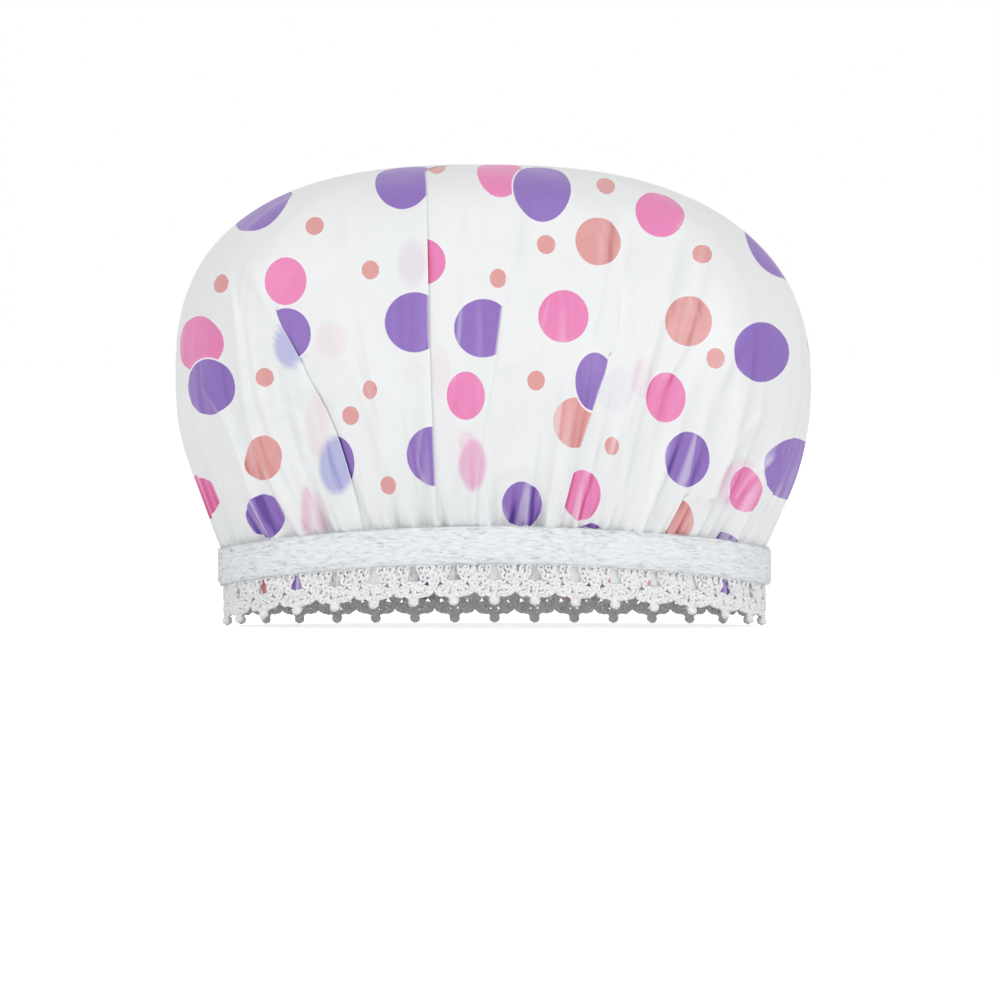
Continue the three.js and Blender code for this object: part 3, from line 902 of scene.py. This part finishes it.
# Attribute, strength of the bare rim, and the two shades of an ink
INKS = [
    ("salmon", 0.35, ink(218, 159, 158), ink(210, 145, 144)),
    ("pink", 0.35, ink(228, 132, 183), ink(222, 121, 173)),
    ("purple", 0.85, ink(140, 108, 185), ink(132, 100, 178)),
]
film_finish = Finish("printed_film", Specular_IOR_Level=0.4, Coat_Weight=0.04, Coat_Roughness=0.3)
place = film_finish.node("ShaderNodeTexCoord", None, None, "Object")
film_colour = film_finish.blend(film_finish.noise(place, CLOUDS), ink(243, 246, 246), ink(249, 251, 250))
for name, tint in (("lilac_ghost", ink(160, 162, 214)), ("pink_ghost", ink(240, 168, 208))):
    film_colour = film_finish.blend(film_finish.attribute(name) * GHOST_TINT, film_colour, tint)
mottle = film_finish.noise(place, MOTTLE, detail=3.0)
printed = film_finish.attribute("lilac_ghost") * GHOST_COVER
for name, rim, light, dark in INKS:
    away = film_finish.attribute(name)
    bare = film_finish.step(away, RIM_WIDTH + EDGE, RIM_WIDTH - EDGE) * rim
    film_colour = film_finish.blend(bare, film_colour, ink(249, 249, 251))
    print_here = film_finish.step(away, EDGE, -EDGE)
    printed = printed + print_here
    film_colour = film_finish.blend(print_here, film_colour, film_finish.blend(mottle, light, dark))
painted_fold_light_here = film_finish.attribute("painted_fold_light")
# Painted shade where the fold light is below zero, painted highlight where it is above
shaded = film_finish.step(painted_fold_light_here, -FLANK_FROM, -FLANK_FULL) * DARK_FLANK
lit = film_finish.step(painted_fold_light_here, FLANK_FROM, FLANK_FULL) * BRIGHT_FLANK
# The painted shade darkens the film by multiplying its colour by itself; the painted highlight blends it
# towards white below
film_colour = film_finish.node(
    "ShaderNodeMix", {"data_type": "RGBA", "blend_type": "MULTIPLY"},
    {0: shaded, 6: film_colour, 7: film_colour}, 2,
)
crinkle = film_finish.noise(place, CRINKLE, detail=4.0)
film_finish.set(
    Base_Color=film_finish.blend(lit, film_colour, ink(252, 252, 253)),
    Roughness=EVEN_ROUGHNESS + film_finish.noise(place, GLOSS) * MORE_ROUGHNESS,
    Normal=film_finish.bump(crinkle, distance=0.12 * MM, strength=0.5),
)
film_finish.let_through((1 - printed) * SEE_THROUGH, ink(240, 242, 242))
print("film finish:", len(film_finish.tree.nodes), "nodes")

# %% Spin the disc and gather it
DISC_RADIUS = 160 * MM
MERGE = 0.002 * MM  # points closer than this become one
INSIDE = Vector((0, 0, 60 * MM))

bm = bmesh.new()
spoke = [bm.verts.new((0, DISC_RADIUS * index / ROWS, 0)) for index in range(ROWS + 1)]
spoke_edges = [bm.edges.new(pair) for pair in zip(spoke, spoke[1:])]
bmesh.ops.spin(
    bm, geom=spoke + spoke_edges, cent=(0, 0, 0), axis=(0, 0, 1), angle=math.tau,
    steps=COLUMNS, use_merge=True,
)
bmesh.ops.remove_doubles(bm, verts=bm.verts, dist=MERGE)
flat = np.array([vert.co for vert in bm.verts])
disc_row = np.round(np.hypot(flat[:, 0], flat[:, 1]) / DISC_RADIUS * ROWS).astype(int)
disc_column = np.round(np.arctan2(-flat[:, 0], flat[:, 1]) / math.tau * COLUMNS).astype(int) % COLUMNS
for vert, column, row in zip(bm.verts, disc_column, disc_row):
    vert.co = film[column, row]
bmesh.ops.recalc_face_normals(bm, faces=bm.faces)
bm.normal_update()
if sum(face.normal.dot(face.calc_center_median() - INSIDE) for face in bm.faces) < 0:
    bmesh.ops.reverse_faces(bm, faces=bm.faces)
turned = (step_in == 0) & (layer != PANEL)
bm.verts.index_update()
for edge in bm.edges:
    first, second = (vert.index for vert in edge.verts)
    column, row = disc_column[first], max(disc_row[first], disc_row[second])
    on_crease = column == disc_column[second] and turned[column]
    edge.smooth = not (on_crease and closed_here[column, row] > FOLD_FROM)
film_mesh = to_mesh(bm, "crown_film_sheet")
for name, field in (
    ("purple", to_purple), ("pink", to_pink), ("salmon", to_salmon),
    ("lilac_ghost", lilac_ghost), ("pink_ghost", pink_ghost), ("painted_fold_light", painted_fold_light),
):
    write_points(film_mesh, name, field[disc_column, disc_row])
film_piece = make_piece("crown_film_sheet", film_mesh, film_finish, "film", "crown_film")

# %% [markdown]
# ## Tape and elastic
# The tape is a thick brushed ribbon and the elastic a flat knitted one. Both are one section carried
# round the rim. A full spin makes only circles, but the rim is made of arcs, so the section is spun
# about the centre of each arc in turn. The two ends meet at the back with a small gap.

# %% Carry a section round the rim
JOIN_GAP = 0.5 * MM
FEWEST_STEPS = 3  # of one arc


def carry_round(section, steps):
    """A bmesh of a closed section of (outwards, height) points, spun along the arcs of the rim."""
    bm = bmesh.new()
    loop = [bm.verts.new((0, rim_y + half_depth + out, height)) for out, height in section]
    edges = [bm.edges.new(pair) for pair in zip(loop, loop[1:] + loop[:1])]
    skip = JOIN_GAP / 2 / long_radius
    first_centre = Vector((0, rim_y - long_centre, 0))
    bmesh.ops.rotate(bm, verts=loop, cent=first_centre, matrix=Matrix.Rotation(skip, 3, "Z"))
    bm.faces.new(loop)
    ends = loop + edges
    for index, (x, y, radius, _, sweep) in enumerate(RIM_ARCS):
        sweep -= skip if index in (0, len(RIM_ARCS) - 1) else 0
        count = max(FEWEST_STEPS, round(steps * radius * sweep / rim_length))
        spun = bmesh.ops.spin(
            bm, geom=ends, cent=(x, rim_y + y, 0), axis=(0, 0, 1), angle=sweep, steps=count,
        )
        ends = spun["geom_last"]
    bmesh.ops.contextual_create(bm, geom=[item for item in ends if isinstance(item, bmesh.types.BMEdge)])
    bmesh.ops.remove_doubles(bm, verts=bm.verts, dist=MERGE)
    bmesh.ops.recalc_face_normals(bm, faces=bm.faces)
    bm.normal_update()
    return bm


def lay_along(bm):
    """Lifts the brow and gives each vertex its way round the rim and its height, in metres."""
    ways = np.array([rim_share(vert.co.x, vert.co.y - rim_y) * rim_length for vert in bm.verts])
    heights = np.array([vert.co.z for vert in bm.verts])
    for vert in bm.verts:
        vert.co.z += float(brow_lift(vert.co.y - rim_y))
    return ways, heights


def write_lie(mesh, ways, heights):
    """Stores how a mesh lies along the rim, for the grain of its finish."""
    write_points(mesh, "lie", np.stack([ways, heights, np.zeros_like(ways)], -1), "FLOAT_VECTOR")


print("a section is carried round", len(RIM_ARCS), "arcs")

# %% Tape finish
STREAKS, FLECKS = (260.0, 1500.0, 1.0), (900.0, 2600.0, 1.0)  # patterns to the metre, along and up the tape
STREAK_DARK, STREAK_LIGHT = 0.3, 0.6
STREAK_RELIEF, FLECK_RELIEF = 0.7, 0.3
tape_finish = Finish(
    "brushed_tape", Roughness=0.92, Specular_IOR_Level=0.2, Sheen_Weight=0.15, Sheen_Roughness=0.5,
)
lie = tape_finish.attribute("lie", "Vector")
streak = tape_finish.noise(tape_finish.stretch(lie, STREAKS), scale=1.0, detail=4.0, roughness=0.6)
fleck = tape_finish.noise(tape_finish.stretch(lie, FLECKS), scale=1.0)
tape_white = tape_finish.step(streak, STREAK_DARK, STREAK_LIGHT)
pile = streak * STREAK_RELIEF + fleck * FLECK_RELIEF
tape_finish.set(
    Base_Color=tape_finish.blend(tape_white, ink(215, 219, 221), ink(233, 236, 238)),
    Normal=tape_finish.bump(pile, distance=0.35 * MM, strength=0.8),
)
print("tape finish:", len(tape_finish.tree.nodes), "nodes")

# %% Tape
TAPE_POINTS, TAPE_STEPS = 26, 640
TAPE_CROWN = 0.35 * MM  # the pile stands proud in the middle
CROWN_POWER, EDGE_ROUNDING, EDGE_POWER = 4, 0.55 * MM, 14
# Length along the tape, height up it, place in the noise, and depth in mm
PILE_WAVES = [(7 * MM, 1.1 * MM, 0, 0.13), (2.2 * MM, 0.6 * MM, 7, 0.08), (9 * MM, 14 * MM, 3, 0.14)]
FIBRES, FIBRES_AT_ONCE = 4200, 140
FIBRE_ROOT, FIBRE_TIP, FIBRE_LENGTH = 0.08 * MM, 0.03 * MM, (1.0, 2.4)
EDGE_FIBRES = 0.35  # part of the fibres that stand out at an edge
EDGES, EDGE_SPREAD = (0.02, 0.98), 0.03  # shares of the tape's height
SLANT, EDGE_SLANT, LEAN = 0.3, 1.0, (-0.12, 0.18)
EDGE_SEAT, SEAT_SPREAD = 0.6 * TAPE_WALL, (-0.05, 0.12)
NEAR_JOIN = 0.004  # share of the way round that stays free of fibres
pile_dice = random.Random(3)


def loose_fibre(bm):
    """A short hair of the pile that lies along the tape, or stands out at one of its edges."""
    share, up_tape = pile_dice.uniform(NEAR_JOIN, 1 - NEAR_JOIN), pile_dice.random()
    at_edge = pile_dice.random() < EDGE_FIBRES
    slant = pile_dice.uniform(-SLANT, SLANT)
    if at_edge:
        up_tape = pile_dice.choice(EDGES) + pile_dice.uniform(-EDGE_SPREAD, EDGE_SPREAD)
        slant = pile_dice.uniform(-EDGE_SLANT, EDGE_SLANT)
    point, outward = (np.asarray(value)[0] for value in round_rim(np.array([share])))
    seat = (EDGE_SEAT if at_edge else TAPE_WALL + TAPE_CROWN) + pile_dice.uniform(*SEAT_SPREAD) * MM
    spot = Vector((*(point + outward * seat), tape_bottom + up_tape * TAPE_HEIGHT)) + Vector((0, rim_y, 0))
    lean = pile_dice.uniform(*LEAN)
    way = Vector((-outward[1], outward[0], math.tan(slant))) + lean * Vector((*outward, 0))
    turn = Matrix.Translation(spot) @ way.to_track_quat("Z", "Y").to_matrix().to_4x4()
    bmesh.ops.create_cone(
        bm, cap_ends=True, cap_tris=False, segments=3, radius1=FIBRE_ROOT, radius2=FIBRE_TIP,
        depth=pile_dice.uniform(*FIBRE_LENGTH) * MM, matrix=turn,
    )


def pile_depth(way, height):
    """How far the pile stands out or sinks in, in metres."""
    waves = (depth * noise.noise((way / long, height / tall, at)) for long, tall, at, depth in PILE_WAVES)
    return sum(waves) * MM


face = np.linspace(0, 1, TAPE_POINTS)
belly = TAPE_WALL + TAPE_CROWN * (1 - (2 * face - 1) ** CROWN_POWER)
belly -= EDGE_ROUNDING * np.abs(2 * face - 1) ** EDGE_POWER
bm = carry_round([(0, tape_bottom), *zip(belly, tape_bottom + face * TAPE_HEIGHT), (0, tape_top)], TAPE_STEPS)
normals = [vert.normal.copy() for vert in bm.verts]
for _ in range(FIBRES // FIBRES_AT_ONCE):
    tuft = bmesh.new()
    for _ in range(FIBRES_AT_ONCE):
        loose_fibre(tuft)
    tuft_mesh = to_mesh(tuft, "tuft")
    bm.from_mesh(tuft_mesh)
    bpy.data.meshes.remove(tuft_mesh)
ways, heights = lay_along(bm)
for vert, normal, way, height in zip(bm.verts, normals, ways, heights):
    vert.co += normal * pile_depth(way, height)
tape_mesh = to_mesh(bm, "heading_tape_pile")
write_lie(tape_mesh, ways, heights)
make_piece("heading_tape_pile", tape_mesh, tape_finish, "tape", "heading_tape")

# %% Elastic
ELASTIC_INSET, ELASTIC_WALL, ELASTIC_HEIGHT = 2.3 * MM, 1.0 * MM, 9 * MM
ELASTIC_STEPS = 260
RIBS, RIB_POINTS, RIB_HEIGHT = 6, 4, 0.14 * MM
KNIT = {"Scale": 380.0, "Distortion": 1.2}
elastic_bottom = tape_bottom + (TAPE_HEIGHT - ELASTIC_HEIGHT) / 2
elastic_finish = Finish("knitted_elastic", Roughness=0.85, Specular_IOR_Level=0.25)
lie = elastic_finish.attribute("lie", "Vector")
knit = elastic_finish.node("ShaderNodeTexWave", {"bands_direction": "Y"}, {"Vector": lie, **KNIT}, "Fac")
elastic_finish.set(
    Base_Color=elastic_finish.blend(knit, ink(218, 220, 219), ink(240, 241, 240)),
    Normal=elastic_finish.bump(knit, distance=0.3 * MM, strength=0.8),
)
face = np.linspace(0, 1, RIB_POINTS * RIBS + 1)
rib = RIB_HEIGHT * np.abs(np.sin(face * math.pi * RIBS))
inner_face = list(zip(-(ELASTIC_INSET + ELASTIC_WALL) - rib, elastic_bottom + face * ELASTIC_HEIGHT))
outer_face = [(-ELASTIC_INSET, elastic_bottom + ELASTIC_HEIGHT), (-ELASTIC_INSET, elastic_bottom)]
bm = carry_round(inner_face + outer_face, ELASTIC_STEPS)
ways, heights = lay_along(bm)
elastic_mesh = to_mesh(bm, "elastic_strip_knit")
write_lie(elastic_mesh, ways, heights)
make_piece("elastic_strip_knit", elastic_mesh, elastic_finish, "elastic", "elastic_strip")

# %% [markdown]
# ## Lace
# A crocheted scallop is a fan of looped yarn with a round picot at its tip. Every stitch is a small ring
# of yarn, and chains of such rings run along the scallop's ribs. One scallop is built flat from rings,
# in a few variants, because no two handmade scallops are the same. The row is then bent round the rim.

# %% Lace finish
PLY = 2600.0  # patterns to the metre
LACE_THROUGH = 0.08  # share of the light that the yarn passes on
lace_finish = Finish("crochet_yarn", Roughness=0.9, Specular_IOR_Level=0.25, Sheen_Weight=0.2)
place = lace_finish.node("ShaderNodeTexCoord", None, None, "Object")
ply = lace_finish.noise(place, PLY, detail=3.0, roughness=0.6)
lace_finish.set(
    Base_Color=lace_finish.blend(ply, ink(244, 245, 246), ink(254, 254, 254)),
    Normal=lace_finish.bump(ply, distance=0.3 * MM, strength=0.8),
)
lace_finish.let_through(LACE_THROUGH, ink(250, 250, 250))
print("lace finish:", len(lace_finish.tree.nodes), "nodes")

# %% Stitches of one scallop
SCALLOP_PITCH = 12.2 * MM
LACE_MIDDLE = -0.75 * MM  # middle of the lace, outwards from the tape's inner face
YARN, YARN_SIDES, RING_STEPS = 0.5 * MM, 5, 8
YARN_SPREAD = (0.85, 1.15)
SHAKE = 0.16  # how far a ring strays, mm
TWIST, TWIST_SPREAD = 0.5, 0.4  # how far a ring turns against the last
OVERLAP, EXTRA = 1.15, 0.2  # a ring's length, in steps of its chain, and what its width adds
lace_low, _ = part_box("lace_edging")


def stitch(bm, place, along, length, width, tilt, yarn):
    """One ring of yarn: a circle of yarn spun about the ring's middle, then stretched and turned."""
    ring = bmesh.ops.create_circle(bm, segments=YARN_SIDES, radius=yarn)["verts"]
    bmesh.ops.translate(bm, verts=ring, vec=(width / 2, 0, 0))
    edges = list({edge for vert in ring for edge in vert.link_edges})
    before = set(bm.verts) - set(ring)
    bmesh.ops.rotate(bm, verts=ring, cent=(width / 2, 0, 0), matrix=Matrix.Rotation(math.pi / 2, 3, "X"))
    bmesh.ops.spin(
        bm, geom=ring + edges, cent=(0, 0, 0), axis=(0, 0, 1), angle=math.tau,
        steps=RING_STEPS, use_merge=True,
    )
    made = [vert for vert in bm.verts if vert not in before]
    turn = Matrix.Rotation(math.atan2(along[1], along[0]), 4, "Z") @ Matrix.Rotation(tilt, 4, "X")
    shape = turn @ Matrix.Diagonal((length / width, 1, 1, 1))
    bmesh.ops.transform(bm, verts=made, matrix=Matrix.Translation(place) @ shape)


def chain(bm, dice, route, count, width):
    """Rings of yarn along a route of (sideways, height) places in mm, each turned against the last."""
    places = np.array(route, float) * MM
    path = np.concatenate([[0], np.cumsum(np.linalg.norm(np.diff(places, axis=0), axis=1))])
    stops = np.linspace(0, path[-1], 2 * count + 1)
    points = np.stack([np.interp(stops, path, places[:, axis]) for axis in (0, 1)], -1)
    for index in range(count):
        start, middle, end = points[2 * index], points[2 * index + 1], points[2 * index + 2]
        along = end - start
        shake = [dice.uniform(-SHAKE, SHAKE) * MM for _ in range(3)]
        spot = Vector((middle[0] + shake[0], middle[1] + shake[1], shake[2]))
        tilt = (TWIST if index % 2 else -TWIST) + dice.uniform(-TWIST_SPREAD, TWIST_SPREAD)
        length = float(np.linalg.norm(along)) * OVERLAP + width * MM * EXTRA
        breadth, yarn = width * MM * dice.uniform(*YARN_SPREAD), YARN * dice.uniform(*YARN_SPREAD)
        stitch(bm, spot, along, length, breadth, tilt, yarn)


print("lace hangs", round((tape_bottom - lace_low.z) / MM, 1), "mm below the tape")

# %% One scallop
# Chains of a scallop: places (sideways, height) in mm, number of rings and their width in mm
MIDDLE_CHAINS = [
    ([(-6.1, 12.9), (6.1, 12.9)], 7, 1.2),
    ([(-3.2, 7.6), (-1.6, 6.9), (0, 6.6), (1.6, 6.9), (3.2, 7.6)], 5, 1.3),
    ([(0, 6.0), (0, 3.8)], 2, 1.2),
]
SIDE_CHAINS = [
    ([(1.7, 12.0), (2.2, 10.2), (3.1, 8.3)], 3, 1.5),
    ([(3.7, 12.0), (4.2, 10.2), (4.5, 8.0)], 3, 1.6),
    ([(5.9, 11.4), (5.8, 8.4)], 2, 1.3),
    ([(0.8, 6.1), (2.6, 4.6)], 2, 1.1),
    ([(2.0, 6.4), (4.3, 5.5)], 2, 1.1),
    ([(4.9, 7.8), (5.5, 6.8), (5.5, 5.4), (4.8, 4.2), (3.6, 3.7), (2.4, 3.7), (1.2, 3.4)], 7, 1.25),
]
NECK_CHAIN = ([(-1.1, 3.0), (1.1, 3.0)], 2, 1.2)
PICOT_HEIGHT, PICOT_LENGTH, PICOT_WIDTH, PICOT_YARN = 1.6 * MM, 2.0 * MM, 1.8 * MM, 0.62 * MM
PICOT_TILTS, PICOT_TURN = (0.0, 1.05, 2.1), 0.5
SCALLOP_SEEDS = (1, 2, 3)


def scallop(seed):
    """A flat scallop about its middle line, with its tip at height 0."""
    dice = random.Random(seed)
    bm = bmesh.new()
    for links in MIDDLE_CHAINS:
        chain(bm, dice, *links)
    for side in (-1, 1):
        for route, count, width in SIDE_CHAINS:
            chain(bm, dice, [(across * side, height) for across, height in route], count, width)
    chain(bm, dice, *NECK_CHAIN)
    for tilt in PICOT_TILTS:
        along = (1, dice.uniform(-PICOT_TURN, PICOT_TURN))
        stitch(bm, Vector((0, PICOT_HEIGHT, 0)), along, PICOT_LENGTH, PICOT_WIDTH, tilt, PICOT_YARN)
    return to_mesh(bm, "scallop")


scallop_variants = [scallop(seed) for seed in SCALLOP_SEEDS]
print("faces in a scallop:", [len(mesh.polygons) for mesh in scallop_variants])

# %% Bend the row of scallops round the rim
scallop_count = round(rim_length / SCALLOP_PITCH)
pitch = rim_length / scallop_count
bm = bmesh.new()
for index in range(scallop_count):
    before = len(bm.verts)
    bm.from_mesh(scallop_variants[(index * 2 + index // 3) % len(scallop_variants)])
    bm.verts.ensure_lookup_table()
    bmesh.ops.translate(bm, verts=bm.verts[before:], vec=(index * pitch, 0, 0))
flat = np.array([vert.co for vert in bm.verts])
bent = beside_rim(flat[:, 0] / rim_length, LACE_MIDDLE + flat[:, 2], flat[:, 1] + lace_low.z)
for vert, place in zip(bm.verts, bent):
    vert.co = place
bmesh.ops.recalc_face_normals(bm, faces=bm.faces)
lace_mesh = to_mesh(bm, "lace_edging_crochet")
make_piece("lace_edging_crochet", lace_mesh, lace_finish, "lace", "lace_edging")
for mesh in scallop_variants:
    bpy.data.meshes.remove(mesh)

# %% [markdown]
# ## Sewing
# Two zigzag rows hold tape, lace, film and elastic together, and a bar tack closes each join at the
# back. The thread is thin and sinks into the pile, so it hardly shows. A bevelled curve is the plainest
# way to a thread, and it is made a mesh once it has its course.

# %% Thread finish
TWISTS = 3000.0  # patterns to the metre
thread_finish = Finish("spun_thread", Roughness=0.75, Specular_IOR_Level=0.3)
place = thread_finish.node("ShaderNodeTexCoord", None, None, "Object")
twist = thread_finish.noise(place, TWISTS)
thread_finish.set(
    Base_Color=thread_finish.blend(twist, ink(232, 234, 234), ink(248, 249, 249)),
    Normal=thread_finish.bump(twist, distance=0.1 * MM, strength=0.6),
)
print("thread finish:", len(thread_finish.tree.nodes), "nodes")

# %% Sew the rows and the tacks
STITCH_RADIUS = 0.16 * MM
ROW_INSET, ZIGZAG_WIDTH, ZIGZAG_PITCH = 3 * MM, 2 * MM, 6 * MM
TACK_WIDTH, TACK_MARGIN, TACK_PITCH, TACK_GAP = 3 * MM, 0.8 * MM, 1.1 * MM, 1 * MM
SINK, STAND = 0.2 * MM, 0.2 * MM  # the thread sinks into the pile, and stands out from the elastic
OUTER_SEAT = TAPE_WALL + TAPE_CROWN - SINK
INNER_SEAT = -(ELASTIC_INSET + ELASTIC_WALL + STAND)


def thread_mesh(name, places):
    """A thin round thread through the places."""
    curve = bpy.data.curves.new(name, "CURVE")
    curve.dimensions = "3D"
    curve.bevel_depth, curve.bevel_resolution, curve.use_fill_caps = STITCH_RADIUS, 0, True
    spline = curve.splines.new("POLY")
    spline.points.add(len(places) - 1)
    for point, spot in zip(spline.points, places):
        point.co = (*spot, 1)
    holder = bpy.data.objects.new(name, curve)
    mesh = bpy.data.meshes.new_from_object(holder)
    mesh.name = name
    bpy.data.objects.remove(holder)
    bpy.data.curves.remove(curve)
    return mesh


def sewn_row(seat, middle):
    """Places of a zigzag row round the rim."""
    turns = 2 * round(rim_length / ZIGZAG_PITCH)
    clear = (TACK_WIDTH / 2 + TACK_GAP) / rim_length
    share = np.linspace(clear, 1 - clear, turns + 1)
    side = np.where(np.arange(turns + 1) % 2, 0.5, -0.5)
    return beside_rim(share, np.full(turns + 1, seat), middle + side * ZIGZAG_WIDTH)


def bar_tack(seat, bottom, top):
    """Places of close stitches across the join at the back."""
    turns = 2 * round((top - bottom - 2 * TACK_MARGIN) / TACK_PITCH)
    heights = np.linspace(bottom + TACK_MARGIN, top - TACK_MARGIN, turns + 1)
    share = np.where(np.arange(turns + 1) % 2, 0.5, -0.5) * TACK_WIDTH / rim_length
    return beside_rim(share, np.full(turns + 1, seat), heights)


low_row, high_row = tape_bottom + ROW_INSET, tape_top - ROW_INSET
sewing = {
    "upper_needle_thread": sewn_row(OUTER_SEAT, high_row),
    "lower_needle_thread": sewn_row(OUTER_SEAT, low_row),
    "upper_bobbin_thread": sewn_row(INNER_SEAT, high_row),
    "lower_bobbin_thread": sewn_row(INNER_SEAT, low_row),
    "tape_join_tack": bar_tack(OUTER_SEAT, tape_bottom, tape_top),
    "elastic_join_tack": bar_tack(INNER_SEAT, elastic_bottom, elastic_bottom + ELASTIC_HEIGHT),
}
for node, places in sewing.items():
    make_piece(f"{node}_sewn", thread_mesh(f"{node}_sewn", places), thread_finish, "thread", node)

# %% [markdown]
# ## Stage
# A pale floor, soft light from all round and five broad lamps show the folds without hard shadows. The
# camera looks at the front from far away, so the picture is almost without perspective.

# %% Floor and sky
FLOOR_GLOW = 0.58  # lifts the floor to white where it is seen, not where it lights
FLOOR_SIZE = 12.0
SKY_LIGHT = 0.55  # strength of the sky where it lights; it is white where it is seen
floor_finish = Finish("pale_floor", Roughness=0.9, Specular_IOR_Level=0.1)
glow = floor_finish.seen() * FLOOR_GLOW
floor_finish.set(Base_Color=ink(250, 250, 250), Emission_Color=glow, Emission_Strength=1.0)
bm = bmesh.new()
bmesh.ops.create_grid(bm, x_segments=1, y_segments=1, size=FLOOR_SIZE)
floor_mesh = to_mesh(bm, "floor")
floor_mesh.materials.append(floor_finish.material)
floor = bpy.data.objects.new("floor", floor_mesh)
bpy.context.scene.collection.objects.link(floor)

world = bpy.data.worlds.new("soft_studio")
bpy.context.scene.world = world
world.use_nodes = True
sky = world.node_tree.nodes["Background"]
sky.inputs["Color"].default_value = (1, 1, 1, 1)
brightness = Nodes(world.node_tree).seen() * (1 - SKY_LIGHT) + SKY_LIGHT
plug(world.node_tree, brightness, sky.inputs["Strength"])
print("stage:", floor.name, "and", world.name)

# %% Lamps
CAP_MIDDLE, CAP_RIM = (0, 0, 70 * MM), (0, 0, 20 * MM)
# Name, place, target, size in metres and power in watts
LAMPS = [
    ("key", (-1.15, -0.75, 0.8), CAP_MIDDLE, 0.45, 3.7),
    ("right_fill", (1.15, -1.2, 0.3), CAP_MIDDLE, 0.5, 7),
    ("left_fill", (-0.95, -1.4, 0.2), CAP_MIDDLE, 0.5, 2.8),
    ("low_front", (0, -1.7, 0.05), CAP_RIM, 0.3, 2.4),
    ("top", (0.2, -0.2, 1.2), CAP_MIDDLE, 0.8, 2),
]
for name, place, target, size, power in LAMPS:
    lamp = bpy.data.lights.new(name, "AREA")
    lamp.shape, lamp.size, lamp.energy = "DISK", size, power
    holder = bpy.data.objects.new(name, lamp)
    holder.location = place
    holder.rotation_euler = (Vector(target) - Vector(place)).to_track_quat("-Z", "Y").to_euler()
    bpy.context.scene.collection.objects.link(holder)
print("lamps:", len(LAMPS))

# %% Camera
PICTURE = 1000  # pixels across
CAMERA_DISTANCE = 5.0
ELEVATION = math.radians(0.8)
SCALE_PLANE = -30 * MM  # depth at which the picture has its scale
SENSOR_WIDTH, FARTHEST = 36, 50

aim = Vector(((PICTURE / 2 - MIDDLE_COLUMN) * PIXEL, SCALE_PLANE, (FLOOR_LINE - PICTURE / 2) * PIXEL))
camera = bpy.data.cameras.new("camera")
camera.sensor_width = SENSOR_WIDTH
camera.sensor_fit = "HORIZONTAL"
camera.lens = SENSOR_WIDTH * CAMERA_DISTANCE / (PICTURE * PIXEL)
camera.clip_end = FARTHEST
eye = bpy.data.objects.new("camera", camera)
eye.location = aim + CAMERA_DISTANCE * Vector((0, -math.cos(ELEVATION), math.sin(ELEVATION)))
eye.rotation_euler = (math.pi / 2 - ELEVATION, 0, 0)
bpy.context.scene.collection.objects.link(eye)
bpy.context.scene.camera = eye
bpy.context.scene.view_settings.view_transform = "Standard"
print("lens, mm:", round(camera.lens))
